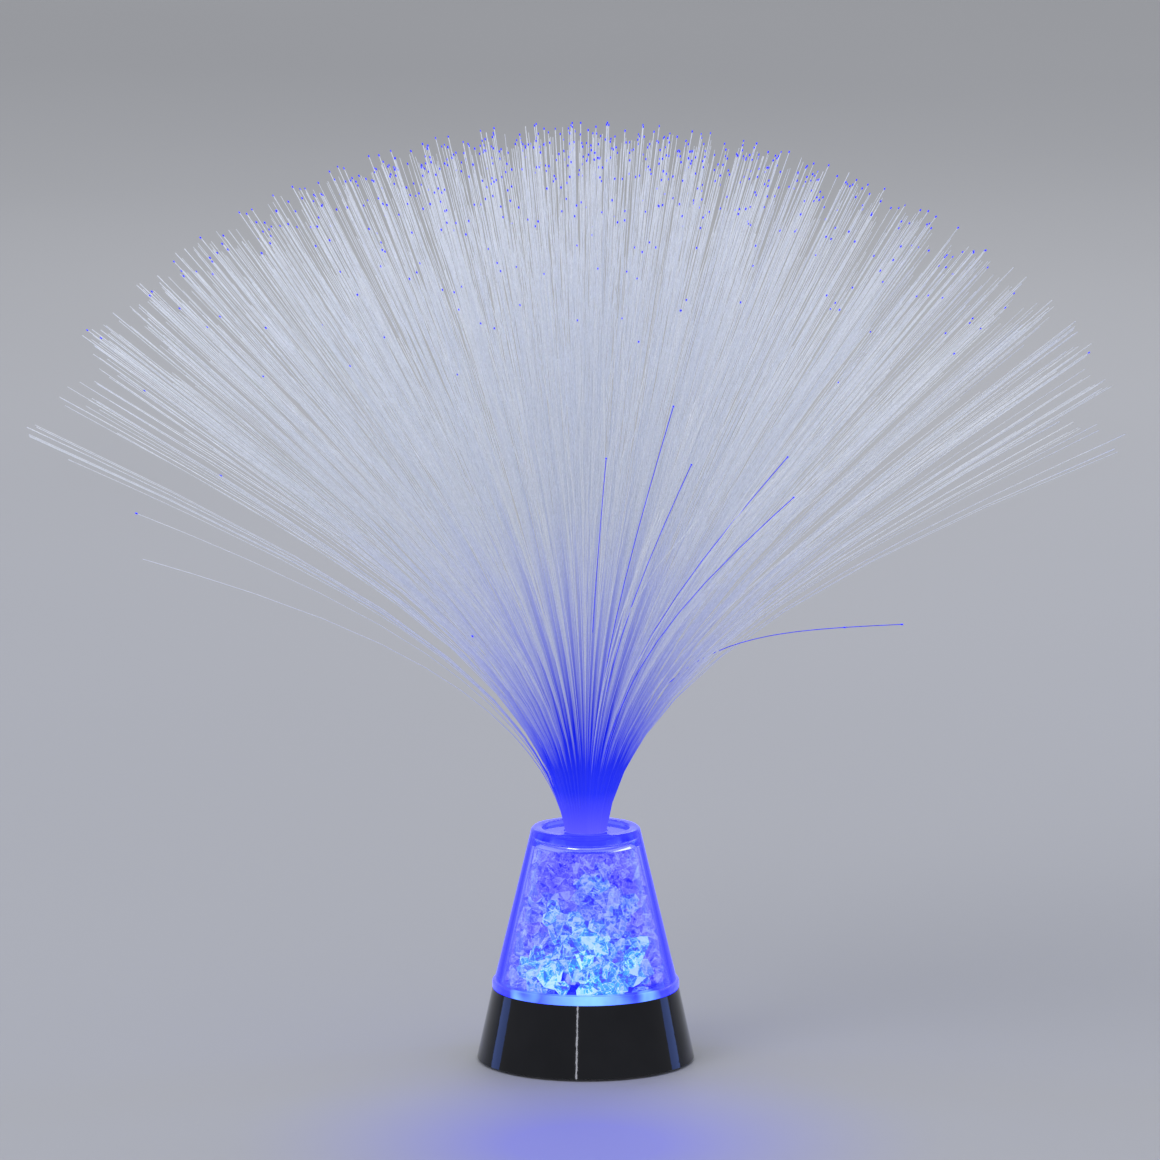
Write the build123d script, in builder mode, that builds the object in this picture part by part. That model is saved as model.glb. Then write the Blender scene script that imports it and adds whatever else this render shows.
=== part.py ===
"""Fiber optic sensory lamp: chrome base, clear cone of crystal chips and a fan of fibres."""
from build123d import *
import math
import os
from random import Random

os.makedirs("parts", exist_ok=True)

# Driving sizes of the whole lamp
base_taper = 5.7              # the chrome base is this much narrower at its top, in radius
cone_top_radius = 19.75       # clear cone at its mouth
cone_height = 60.0            # from its seat to the rim of its mouth
fibre_length = 259.0          # free length of a fibre, from the neck to its tip
bundle_radius = 7.9           # gathered fibres
cell_radius = 5.25
cell_length = 43.5            # without its nub

# General fits
fit_gap = 0.15                # round a piece that drops into its seat
free_gap = 0.3                # round a piece that moves, and beside inner parts
running_gap = 0.05            # round a peg that turns in its bore

# Chrome base shell
foot_height = 1.0             # the rubber feet lift the base this far
shell_wall = 1.8
deck_thickness = 2.0          # top of the shell, under the clear cone
window_radius = 11.0          # the lamps shine up through this window in the deck
pillar_width = 5.2            # two square pillars that take the plate screws
pillar_x = 13.0               # one stands here, the other straight across the axis
pillar_gap = 3.85             # between the bay and a pillar
pillar_web = 1.2              # web that ties a pillar to the wall
pilot_radius = 1.1            # bore that a plate screw cuts its thread in
pilot_depth = 10.0
post_width = 4.6              # square posts that the light board hangs from
post_x = 15.0
board_pilot_radius = 0.8
board_pilot_depth = 3.0

# Battery bay
nub_radius = 1.9
nub_length = 1.0
cell_gap = 0.8                # between two cells
contact_thickness = 0.4
contact_width = 8.0
contact_height = 9.0
spring_space = 5.0            # length of a pressed spring leaf
spring_width = 4.0
bay_wall = 1.2
bay_end_wall = 2.6
bay_rib_width = 1.0
bay_rib_depth = 2.5
tail_width = 2.0              # solder tail of an output contact
tail_height = 1.5             # tail above the bay roof
bay_corner_gap = 5.05         # between the bay's corners and the wall of the base, at its foot

# Base plate
plate_thickness = 2.6
screw_radius = 1.3
screw_head_radius = 2.6
screw_head_height = 1.5
screw_length = 9.0
foot_radius = 3.6
foot_inset = 2.45             # from the plate's edge to a foot
foot_count = 4

# Battery door
door_thickness = 2.0
door_peg_radius = 0.6
door_peg_length = 1.2
door_ledge = 1.4              # the plate's ledge over each end of the door
door_tab_length = 7.0
door_tab_width = 9.0
door_rib_height = 0.6
door_rib_width = 1.0
door_rib_count = 4
door_screw_radius = 1.1
door_screw_head_radius = 2.1
door_screw_head_height = 1.0
door_screw_length = 5.0
door_boss_radius = 3.0
door_boss_height = 5.0

# Slide switch
switch_gap = 4.75             # between the bay and the switch
switch_length = 13.0
switch_width = 6.4
switch_height = 5.0
switch_wall = 0.6
switch_recess_depth = 1.2     # finger recess in the underside of the plate
slider_knob_length = 4.0
slider_knob_width = 2.6
slider_travel = 3.0
slider_foot_length = 6.4
slider_foot_height = 1.4
slider_inset = 0.3            # the knob ends this far inside the underside
terminal_pitch = 2.54
terminal_width = 1.0
terminal_thickness = 0.5
terminal_height = 2.5

# Light board
board_gap = 3.5              # between the bay roof and the board
lamp_gap = 4.0               # between the board and the deck
board_length = 36.0
board_width = 30.0
board_corner = 5.0
board_thickness = 1.6
lamp_width = 5.0
lamp_height = 1.6
lamp_corner = 0.8             # cut corner that marks the first lead
lamp_lead_width = 0.9
lamp_lead_length = 0.25
lamp_lead_height = 0.3
lamp_ring_radius = 7.0        # the ring lamps sit this far from the one at the centre
ring_lamp_count = 3
board_screw_head_radius = 1.8
board_screw_head_height = 1.1
board_screw_length = 4.2
chip_length = 5.0             # colour controller
chip_width = 4.0
chip_height = 1.3
chip_leg_width = 0.5
chip_leg_length = 0.9
chip_leg_height = 0.6
chip_leg_count = 4
resistor_length = 2.0
resistor_width = 1.2
resistor_height = 0.6
resistor_pitch = 3.0
resistor_place = 9.0

# Wires
wire_radius = 0.5
wire_stub_length = 2.0        # a wire stands up this far before it turns
wire_board_inset = 3.0        # from the board's edge to a wire's end

# Clear cone
flange_width = 0.8            # the flange stands out this far from the foot of the cone
flange_thickness = 3.1
flange_bevel = 0.5
cone_wall = 2.5
cone_foot_wall = 3.2          # ring that stands on the deck
rim_bevel = 0.9
mouth_radius = 15.9
mouth_recess = 1.5            # from the rim down to the cap
collar_ledge = 1.2            # the cap rests on this much of the collar
collar_depth = 2.0            # from the cap's seat to the foot of the collar

# Pieces inside the clear cone
cap_thickness = 3.1
floor_thickness = 1.5
sleeve_wall = 1.2

# Crystal chips
crystal_size = 10.5           # usual size of a chip, along, across and up
crystal_gap = 0.15            # between a chip and the edge of its own room

# Fibres
neck_rise = 0.5               # the bundle stands this far above the cap
slice_thickness = 1.0         # top of the bundle that the strands grow from
root_depth = 0.5              # a strand starts this far inside the slice
strand_radius = 0.27
strand_count = 300
strand_sides = 3
loose_count = 24              # outermost strands that hang out of the fan
stray_number = 288            # the strand at the right-hand edge of the bundle
stray_length = 150.0          # the one long stray that droops to the level
spread_length = 60.0          # a fibre has done most of its bending after this length
stray_spread_length = 74.0

# Shares that shape the chips, chosen by hand
corner_pull_shares = (0.5, 0.95)      # least and most reach of a chip's corner in its room
crown_pull_shares = (0.96, 1.0)       # and of the crown in the middle of each side
crown_drift_share = 0.3               # how far a crown lies off the middle
ring_drift_share = 0.12               # how far a ring's edge lies off its even place
place_drift_share = 0.14              # and the edge between two chips of a ring

# Angles and shares that shape the fibres, chosen by hand
spread_degrees = 59.0                 # end tilt of a fibre at the edge of the bundle
stray_degrees = 88.0                  # the stray ends almost level
stray_bend_power = 2.5                # it holds upright for longer and then bends over quickly
edge_share = 0.95                     # outermost strand, of the bundle's radius
start_tilt_share = 0.14               # tilt at the neck, of the end tilt
tilt_power_share = 1.3                # how the end tilt grows from the middle outwards
tilt_jitter_share = 0.05
loose_tilt_share = 0.26               # most extra tilt of a loose strand
upright_place_share = 0.75            # strands nearer the middle than this bend little
upright_station_shares = (0.12, 0.38, 1.0)
leaning_station_shares = (0.09, 0.24, 0.5, 1.0)
tracing_steps = 120
golden_degrees = 180 * (3 - math.sqrt(5))

# Battery bay, worked out from the cells
plate_bottom = foot_height
plate_top = plate_bottom + plate_thickness
cell_pitch = 2 * cell_radius + cell_gap
cell_low = plate_bottom + door_thickness + free_gap + door_rib_height
cell_axis_height = cell_low + cell_radius
roof_under = cell_axis_height + cell_radius + free_gap
roof_top = roof_under + bay_wall
full_cell_length = cell_length + nub_length
bay_half_x = (full_cell_length + spring_space + 2 * contact_thickness) / 2 + running_gap
bay_half_y = cell_pitch + cell_radius + free_gap
cell_shift = bay_half_x - contact_thickness - running_gap - full_cell_length / 2
bay_outer_x = bay_half_x + bay_end_wall
bay_outer_y = bay_half_y + bay_wall
pillar_y = bay_outer_y + pillar_gap + pillar_width / 2
switch_place = bay_outer_y + switch_gap + switch_width / 2

# Base, as wide and as high as the bay and the light board need
base_radius = math.hypot(bay_outer_x, bay_outer_y) + bay_corner_gap + shell_wall
base_top_radius = base_radius - base_taper
plate_radius = base_radius - shell_wall - fit_gap
foot_ring_radius = plate_radius - foot_inset - foot_radius
board_under = roof_top + board_gap
board_top = board_under + board_thickness
deck_under = board_top + lamp_gap
base_height = deck_under + deck_thickness
base_slope = base_taper / (base_height - foot_height)

# Clear cone and what it holds
cone_foot_radius = base_top_radius - flange_width
cone_top = base_height + cone_height
flange_top = base_height + flange_thickness
cone_slope = (cone_foot_radius - cone_top_radius) / (cone_top - flange_top)
cone_wall_across = cone_wall * math.sqrt(1 + cone_slope**2)
cone_bore = base_top_radius - cone_foot_wall
cap_top = cone_top - mouth_recess
cap_under = cap_top - cap_thickness
collar_foot = cap_under - collar_depth
floor_top = base_height + floor_thickness
sleeve_inner = bundle_radius + fit_gap
sleeve_outer = sleeve_inner + sleeve_wall
neck_top = cap_top + neck_rise

# Plate screws
pillar_places = ((pillar_x, pillar_y), (-pillar_x, -pillar_y))
pillar_reach = math.hypot(pillar_x, pillar_y)
pillar_angle = math.degrees(math.atan2(pillar_y, pillar_x))

# Battery door
hinge_radius = door_thickness / 2
hinge_height = plate_bottom + hinge_radius
door_recess_x = bay_half_x + door_ledge
door_end_x = door_recess_x - free_gap
hinge_x = door_end_x - hinge_radius
door_half_y = bay_half_y - free_gap
tab_end_x = door_recess_x + door_tab_length
door_screw_x = tab_end_x - door_tab_width / 2
ledge_under = plate_bottom + door_thickness + free_gap


def base_radius_at(height):
    """Outer radius of the chrome base at a height."""
    return base_radius - base_slope * (height - foot_height)


def cone_inside_at(height):
    """Inner radius of the clear cone at a height, between its bore and its collar."""
    return cone_foot_radius - cone_slope * (height - flange_top) - cone_wall_across


def save(builder, name):
    """Label a finished piece and write it to its own file."""
    builder.part.label = name
    export_step(builder.part, f"parts/{name}.step")


def solid_of(faces):
    """One closed solid from flat faces that meet edge to edge."""
    return Solid(Shell(faces))


def plain_screw(head_radius, head_height, radius, length):
    """Pan head screw with its head down and its seat at the origin."""
    with BuildPart() as screw:
        with Locations((0, 0, -head_height / 2)):
            Cylinder(head_radius, head_height)
        with Locations((0, 0, length / 2)):
            Cylinder(radius, length)
    return screw.part


# Chrome base shell: a truncated cone, open below, with a deck that carries the clear cone
with BuildPart() as chrome_base_shell:
    with BuildSketch(Plane.XZ):
        with BuildLine():
            Polyline(
                (window_radius, deck_under),
                (base_radius_at(deck_under) - shell_wall, deck_under),
                (base_radius - shell_wall, foot_height),
                (base_radius, foot_height),
                (base_top_radius, base_height),
                (window_radius, base_height),
                close=True,
            )
        make_face()
    revolve(axis=Axis.Z)
    # Pillars for the plate screws, each tied to the wall by a web
    web_length = base_radius_at(deck_under) - shell_wall / 2 - pillar_reach
    with BuildSketch(Plane.XY.offset(plate_top)):
        with Locations(*pillar_places):
            Rectangle(pillar_width, pillar_width)
        with PolarLocations(pillar_reach + web_length / 2, 2, start_angle=pillar_angle):
            Rectangle(web_length, pillar_web)
    extrude(amount=deck_under - plate_top)
    with BuildSketch(Plane.XY.offset(plate_top)):
        with Locations(*pillar_places):
            Circle(pilot_radius)
    extrude(amount=pilot_depth, mode=Mode.SUBTRACT)
    # Posts that the light board hangs from
    with BuildSketch(Plane.XY.offset(board_top)):
        with GridLocations(2 * post_x, 0, 2, 1):
            Rectangle(post_width, post_width)
    extrude(amount=lamp_gap)
    with BuildSketch(Plane.XY.offset(board_top)):
        with GridLocations(2 * post_x, 0, 2, 1):
            Circle(board_pilot_radius)
    extrude(amount=board_pilot_depth, mode=Mode.SUBTRACT)
save(chrome_base_shell, "chrome_base_shell")

# Base plate: closes the shell, with a battery bay moulded on it
tail_x = bay_half_x - contact_thickness / 2
slot_length = slider_knob_length + slider_travel + 2 * free_gap
slot_width = slider_knob_width + 2 * free_gap
slot_middle = -slider_travel / 2
with BuildPart() as base_plate:
    with BuildSketch(Plane.XZ):
        with BuildLine():
            Polyline(
                (0, plate_bottom),
                (plate_radius, plate_bottom),
                (base_radius_at(plate_top) - shell_wall - fit_gap, plate_top),
                (0, plate_top),
                close=True,
            )
        make_face()
    revolve(axis=Axis.Z)
    # Battery bay with its roof
    with BuildSketch(Plane.XY.offset(plate_top)):
        Rectangle(2 * bay_outer_x, 2 * bay_outer_y)
    extrude(amount=roof_top - plate_top)
    with BuildSketch(Plane.XY.offset(plate_bottom)):
        Rectangle(2 * bay_half_x, 2 * bay_half_y)
    extrude(amount=roof_under - plate_bottom, mode=Mode.SUBTRACT)
    # Ribs that hang between the cells
    with BuildSketch(Plane.XY.offset(roof_under)):
        with GridLocations(0, cell_pitch, 1, 2):
            Rectangle(cell_length / 2, bay_rib_width)
    extrude(amount=-bay_rib_depth)
    # Slots in the roof for the two solder tails
    with BuildSketch(Plane.XY.offset(roof_top)):
        for side in (1, -1):
            with Locations((side * tail_x, -side * cell_pitch)):
                Rectangle(contact_thickness + 2 * running_gap, tail_width + 2 * fit_gap)
    extrude(amount=-bay_wall, mode=Mode.SUBTRACT)
    # Ledge over each end of the door, and the notch for its tab
    with BuildSketch(Plane.XY.offset(plate_bottom)):
        Rectangle(2 * door_recess_x, 2 * bay_half_y)
        with Locations((-(door_recess_x + tab_end_x) / 2, 0)):
            Rectangle(door_tab_length + 2 * free_gap, door_tab_width + 2 * free_gap)
    extrude(amount=ledge_under - plate_bottom, mode=Mode.SUBTRACT)
    # Boss for the door screw
    with BuildSketch(Plane.XY.offset(ledge_under)):
        with Locations((-door_screw_x, 0)):
            Circle(door_boss_radius)
    extrude(amount=plate_top - ledge_under + door_boss_height)
    with BuildSketch(Plane.XY.offset(ledge_under)):
        with Locations((-door_screw_x, 0)):
            Circle(door_screw_radius + free_gap)
    extrude(amount=plate_top - ledge_under + door_boss_height - bay_wall, mode=Mode.SUBTRACT)
    # Bores for the door's two pegs
    with Locations(Location((hinge_x, 0, hinge_height), (90, 0, 0))):
        Cylinder(
            door_peg_radius + running_gap,
            2 * (door_half_y + door_peg_length + free_gap),
            mode=Mode.SUBTRACT,
        )
    # Plate screw holes with recesses for the heads
    screw_seats = [Location((x, y, plate_bottom), (180, 0, 0)) for x, y in pillar_places]
    with Locations(*screw_seats):
        CounterBoreHole(screw_radius, screw_head_radius + fit_gap, screw_head_height + fit_gap)
    # Finger recess and slot of the switch
    with BuildSketch(Plane.XY.offset(plate_bottom)):
        with Locations((slot_middle, -switch_place)):
            SlotOverall(switch_length, switch_width)
    extrude(amount=switch_recess_depth, mode=Mode.SUBTRACT)
    with BuildSketch(Plane.XY.offset(plate_bottom)):
        with Locations((slot_middle, -switch_place)):
            Rectangle(slot_length, slot_width)
    extrude(amount=plate_thickness, mode=Mode.SUBTRACT)
save(base_plate, "base_plate")

# Battery door: a lid with a rounded hinge edge, two pegs, inner ribs and a screw tab
with BuildPart() as battery_door:
    with BuildSketch(Plane.XZ):
        with BuildLine():
            Polyline(
                (hinge_x, plate_bottom + door_thickness),
                (-door_end_x, plate_bottom + door_thickness),
                (-door_end_x, plate_bottom),
                (hinge_x, plate_bottom),
            )
            ThreePointArc(
                (hinge_x, plate_bottom),
                (hinge_x + hinge_radius, hinge_height),
                (hinge_x, plate_bottom + door_thickness),
            )
        make_face()
    extrude(amount=door_half_y, both=True)
    with BuildSketch(Plane.XY.offset(plate_bottom)):
        with Locations((-(door_end_x + tab_end_x) / 2, 0)):
            Rectangle(tab_end_x - door_end_x, door_tab_width)
    extrude(amount=door_thickness)
    # Ribs that press the cells home
    with BuildSketch(Plane.XY.offset(plate_bottom + door_thickness)):
        with GridLocations(cell_length / (door_rib_count + 1), 0, door_rib_count, 1):
            Rectangle(door_rib_width, 2 * cell_pitch)
    extrude(amount=door_rib_height)
    # Pegs on the hinge line
    with Locations(Location((hinge_x, 0, hinge_height), (90, 0, 0))):
        Cylinder(door_peg_radius, 2 * (door_half_y + door_peg_length))
    # Screw hole with its recess
    with Locations(Location((-door_screw_x, 0, plate_bottom), (180, 0, 0))):
        CounterBoreHole(
            door_screw_radius + fit_gap,
            door_screw_head_radius + fit_gap,
            door_screw_head_height + fit_gap,
        )
save(battery_door, "battery_door")

# Screws of the door and of the base plate
one_door_screw = plain_screw(
    door_screw_head_radius, door_screw_head_height, door_screw_radius, door_screw_length
)
with BuildPart() as door_screw:
    with Locations((-door_screw_x, 0, plate_bottom + door_screw_head_height + fit_gap)):
        add(one_door_screw)
save(door_screw, "door_screw")

one_plate_screw = plain_screw(screw_head_radius, screw_head_height, pilot_radius, screw_length)
with BuildPart() as plate_screws:
    with Locations((0, 0, plate_bottom + screw_head_height + fit_gap)):
        with Locations(*pillar_places):
            add(one_plate_screw)
save(plate_screws, "plate_screws")

# Rubber feet: discs on the underside of the plate
with BuildPart() as rubber_feet:
    with BuildSketch():
        with PolarLocations(foot_ring_radius, foot_count, start_angle=45):
            Circle(foot_radius)
    extrude(amount=foot_height)
save(rubber_feet, "rubber_feet")

# Three cells, laid head to tail, with the nub of each on the side of its direction
cell_rows = (("front", -1, 1), ("middle", 0, -1), ("back", 1, 1))
for cell_name, row, direction in cell_rows:
    tail_end = direction * (cell_shift - full_cell_length / 2)
    shoulder = tail_end + direction * cell_length
    with BuildPart() as battery_cell:
        with BuildSketch(Plane.YZ.offset(tail_end)):
            with Locations((row * cell_pitch, cell_axis_height)):
                Circle(cell_radius)
        extrude(amount=direction * cell_length)
        with BuildSketch(Plane.YZ.offset(shoulder)):
            with Locations((row * cell_pitch, cell_axis_height)):
                Circle(nub_radius)
        extrude(amount=direction * nub_length)
    save(battery_cell, f"battery_cell_{cell_name}")

# Battery contacts: flat plates on the end walls, two of them with a tail through the roof
contact_middle = roof_under - fit_gap - contact_height / 2
tail_top = roof_top + tail_height
contact_places = {
    "output_contact_plus": (1, -cell_pitch, contact_width, True),
    "output_contact_minus": (-1, cell_pitch, contact_width, True),
    "bridge_contact_left": (-1, -cell_pitch / 2, contact_width + cell_pitch, False),
    "bridge_contact_right": (1, cell_pitch / 2, contact_width + cell_pitch, False),
}
for contact_name, (end, middle_y, width, has_tail) in contact_places.items():
    with BuildPart() as contact:
        with BuildSketch(Plane.YZ.offset(end * bay_half_x)):
            with Locations((middle_y, contact_middle)):
                Rectangle(width, contact_height)
            if has_tail:
                with Locations((middle_y, (contact_middle + tail_top) / 2)):
                    Rectangle(tail_width, tail_top - contact_middle)
        extrude(amount=-end * contact_thickness)
    save(contact, contact_name)

# Spring leaves: each is a bent strip that stands on its contact and bows out to a cell's flat end
leaf_half = contact_height / 2
leaf_foot = 1.5 * contact_thickness
with BuildPart() as spring_leaves:
    for cell_name, row, direction in cell_rows:
        root_x = -direction * (bay_half_x - contact_thickness)
        crest_x = root_x + direction * (spring_space - running_gap)
        inner_x = crest_x - direction * contact_thickness
        with BuildSketch(Plane.XZ.offset(-row * cell_pitch)):
            with BuildLine():
                Polyline(
                    (root_x, contact_middle - leaf_half),
                    (root_x, contact_middle - leaf_half + leaf_foot),
                    (inner_x, contact_middle - leaf_foot),
                    (inner_x, contact_middle + leaf_foot),
                    (root_x, contact_middle + leaf_half - leaf_foot),
                    (root_x, contact_middle + leaf_half),
                    (crest_x, contact_middle + 2 * leaf_foot),
                    (crest_x, contact_middle - 2 * leaf_foot),
                    close=True,
                )
            make_face()
        extrude(amount=spring_width / 2, both=True)
save(spring_leaves, "spring_leaves")

# Slide switch: a metal housing over the slot, a slider with its knob, and three terminals
housing_top = plate_top + switch_height
with BuildPart() as switch_housing:
    with BuildSketch(Plane.XY.offset(plate_top)):
        with Locations((slot_middle, -switch_place)):
            Rectangle(switch_length, switch_width)
    extrude(amount=switch_height)
    with BuildSketch(Plane.XY.offset(plate_top)):
        with Locations((slot_middle, -switch_place)):
            Rectangle(switch_length - 2 * switch_wall, switch_width - 2 * switch_wall)
    extrude(amount=switch_height - switch_wall, mode=Mode.SUBTRACT)
save(switch_housing, "switch_housing")

with BuildPart() as switch_slider:
    with BuildSketch(Plane.XY.offset(plate_top + free_gap)):
        with Locations((0, -switch_place)):
            Rectangle(slider_foot_length, switch_width - 2 * switch_wall - 2 * free_gap)
    extrude(amount=slider_foot_height)
    with BuildSketch(Plane.XY.offset(plate_bottom + slider_inset)):
        with Locations((0, -switch_place)):
            Rectangle(slider_knob_length, slider_knob_width)
    extrude(amount=plate_thickness - slider_inset + free_gap)
    # Finger grooves across the end of the knob
    with BuildSketch(Plane.XY.offset(plate_bottom + slider_inset)):
        with Locations((0, -switch_place)):
            with GridLocations(slider_knob_length / 4, 0, 3, 1):
                Rectangle(slider_knob_length / 8, slider_knob_width)
    extrude(amount=slider_inset, mode=Mode.SUBTRACT)
save(switch_slider, "switch_slider")

with BuildPart() as switch_terminals:
    with BuildSketch(Plane.XY.offset(housing_top)):
        with Locations((slot_middle, -switch_place)):
            with GridLocations(terminal_pitch, 0, 3, 1):
                Rectangle(terminal_width, terminal_thickness)
    extrude(amount=terminal_height)
save(switch_terminals, "switch_terminals")

# Light board: hangs under the deck on two posts, with its corners cut
with BuildPart() as light_board:
    with BuildSketch(Plane.XY.offset(board_under)) as board_outline:
        Rectangle(board_length, board_width)
        chamfer(board_outline.vertices(), board_corner)
        with GridLocations(2 * post_x, 0, 2, 1):
            Circle(board_pilot_radius + fit_gap, mode=Mode.SUBTRACT)
    extrude(amount=board_thickness)
save(light_board, "light_board")

one_board_screw = plain_screw(
    board_screw_head_radius, board_screw_head_height, board_pilot_radius, board_screw_length
)
with BuildPart() as board_screws:
    with Locations((0, 0, board_under)):
        with GridLocations(2 * post_x, 0, 2, 1):
            add(one_board_screw)
save(board_screws, "board_screws")

# Lamps: flat square packages under the window, with a cut corner and leads on two sides
lamp_seats = {
    "centre_lamp": Locations((0, 0)),
    "ring_lamps": PolarLocations(lamp_ring_radius, ring_lamp_count, start_angle=90),
}
half_lamp = lamp_width / 2
for lamp_name, seats in lamp_seats.items():
    with BuildPart() as lamp:
        with BuildSketch(Plane.XY.offset(board_top)):
            with seats:
                Polygon(
                    (-half_lamp, -half_lamp),
                    (half_lamp, -half_lamp),
                    (half_lamp, half_lamp - lamp_corner),
                    (half_lamp - lamp_corner, half_lamp),
                    (-half_lamp, half_lamp),
                    align=None,
                )
        extrude(amount=lamp_height)
        with BuildSketch(Plane.XY.offset(board_top)):
            with seats:
                Rectangle(lamp_width + 2 * lamp_lead_length, lamp_lead_width)
        extrude(amount=lamp_lead_height)
    save(lamp, lamp_name)

# Colour controller: a small chip with a row of legs on each side, under the board
with BuildPart() as colour_controller:
    with BuildSketch(Plane.XY.offset(board_under)):
        Rectangle(chip_length, chip_width)
    extrude(amount=-chip_height)
    with BuildSketch(Plane.XY.offset(board_under)):
        with GridLocations(chip_length / chip_leg_count, 0, chip_leg_count, 1):
            Rectangle(chip_leg_width, chip_width + 2 * chip_leg_length)
    extrude(amount=-chip_leg_height)
save(colour_controller, "colour_controller")

with BuildPart() as resistors:
    with BuildSketch(Plane.XY.offset(board_under)):
        with Locations((0, -resistor_place)):
            with GridLocations(resistor_pitch, 0, 3, 1):
                Rectangle(resistor_length, resistor_width)
    extrude(amount=-resistor_height)
save(resistors, "resistors")

# Wires: each runs from one solder point to the other in straight runs with rounded turns
terminal_top = housing_top + terminal_height
right_terminal_x = slot_middle + terminal_pitch
left_terminal_x = slot_middle - terminal_pitch
wire_level = board_top + lamp_gap / 2
landing_x = board_length / 2 - wire_board_inset
landing_y = board_width / 2 - wire_board_inset
wire_routes = {
    "wire_battery_to_switch": (
        (tail_x, -cell_pitch, tail_top),
        (tail_x, -cell_pitch, tail_top + wire_stub_length),
        (right_terminal_x, -switch_place, terminal_top + 2 * wire_stub_length),
        (right_terminal_x, -switch_place, terminal_top),
    ),
    "wire_switch_to_board": (
        (left_terminal_x, -switch_place, terminal_top),
        (left_terminal_x, -switch_place, wire_level),
        (left_terminal_x, -landing_y, wire_level),
        (left_terminal_x, -landing_y, board_top),
    ),
    "wire_battery_to_board": (
        (-tail_x, cell_pitch, tail_top),
        (-tail_x, cell_pitch, wire_level),
        (-landing_x, cell_pitch, wire_level),
        (-landing_x, cell_pitch, board_top),
    ),
}


def turn_radii(points):
    """Largest radius of each turn: 0.45 of the shorter run over the tangent of half the turn."""
    corners = [Vector(*point) for point in points]
    radii = []
    for before, corner, after in zip(corners, corners[1:], corners[2:]):
        run_in = corner - before
        run_out = after - corner
        half_turn = math.radians(run_in.get_angle(run_out)) / 2
        radii.append(0.45 * min(run_in.length, run_out.length) / math.tan(half_turn))
    return radii


for wire_name, route in wire_routes.items():
    route_radii = turn_radii(route)
    with BuildPart() as wire:
        with BuildLine() as wire_path:
            FilletPolyline(*route, radius=route_radii)
        with BuildSketch(Plane(origin=route[0], z_dir=wire_path.line % 0)):
            RegularPolygon(wire_radius, side_count=6)
        wire_section = wire.pending_faces[0].area
        sweep()
    print(
        wire_name,
        "radii", [round(radius, 2) for radius in route_radii],
        "volume", round(wire.part.volume, 3),
        "section times length", round(wire_section * wire_path.wires()[0].length, 3),
    )
    save(wire, wire_name)

# Clear cone: one thick-walled moulding with a flange at its foot and a collar at its mouth
bore_top = flange_top + (cone_inside_at(flange_top) - cone_bore) / cone_slope
with BuildPart() as clear_cone:
    with BuildSketch(Plane.XZ) as cone_profile:
        with BuildLine():
            Polyline(
                (cone_bore, base_height),
                (base_top_radius, base_height),
                (base_top_radius, flange_top),
                (cone_foot_radius, flange_top),
                (cone_top_radius, cone_top),
                (mouth_radius, cone_top),
                (mouth_radius, cap_under),
                (mouth_radius - collar_ledge, cap_under),
                (cone_inside_at(collar_foot), collar_foot),
                (cone_bore, bore_top),
                close=True,
            )
        make_face()
        flange_edge = cone_profile.vertices().group_by(Axis.X)[-1].sort_by(Axis.Y)[-1]
        chamfer(flange_edge, flange_bevel)
        rim_edges = cone_profile.vertices().group_by(Axis.Y)[-1]
        chamfer(rim_edges, rim_bevel)
    revolve(axis=Axis.Z)
save(clear_cone, "clear_cone")

# Crystal floor: the clear disc that the chips lie on, round which the cone's foot drops
with BuildPart() as crystal_floor:
    with BuildSketch(Plane.XY.offset(base_height)):
        Circle(cone_bore - fit_gap)
    extrude(amount=floor_thickness)
save(crystal_floor, "crystal_floor")

# Fibre sleeve: a clear tube from the crystal floor to the cap
with BuildPart() as fibre_sleeve:
    with BuildSketch(Plane.XY.offset(floor_top)):
        Circle(sleeve_outer)
        Circle(sleeve_inner, mode=Mode.SUBTRACT)
    extrude(amount=cap_under - floor_top)
save(fibre_sleeve, "fibre_sleeve")

# Top cap: closes the cone's mouth round the fibres
with BuildPart() as top_cap:
    with BuildSketch(Plane.XY.offset(cap_under)):
        Circle(mouth_radius - fit_gap)
        Circle(bundle_radius + fit_gap, mode=Mode.SUBTRACT)
    extrude(amount=cap_thickness)
save(top_cap, "top_cap")

# Fibre bundle: the gathered lower ends of the fibres, from the crystal floor to the neck
with BuildPart() as fibre_bundle:
    with BuildSketch(Plane.XY.offset(floor_top)):
        Circle(bundle_radius)
    extrude(amount=neck_top - slice_thickness - floor_top)
save(fibre_bundle, "fibre_bundle")


def hull_faces(points):
    """Flat triangles of the convex hull round a few points, no four of them in a plane."""
    triangles = []
    count = len(points)
    for first in range(count):
        for second in range(first + 1, count):
            for third in range(second + 1, count):
                normal = (points[second] - points[first]).cross(points[third] - points[first])
                sides = [
                    normal.dot(point - points[first]) > 0
                    for index, point in enumerate(points)
                    if index not in (first, second, third)
                ]
                if all(sides) or not any(sides):
                    triangles.append((points[first], points[second], points[third]))
    return [Face(Wire.make_polygon(triangle)) for triangle in triangles]


# Corners and crowns of a chip's room, counted from its middle in halves of the room
corner_shares = [(a, b, c) for a in (-1, 1) for b in (-1, 1) for c in (-1, 1)]
crown_shares = [(1, 0, 0), (-1, 0, 0), (0, 1, 0), (0, -1, 0), (0, 0, 1), (0, 0, -1)]


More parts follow.
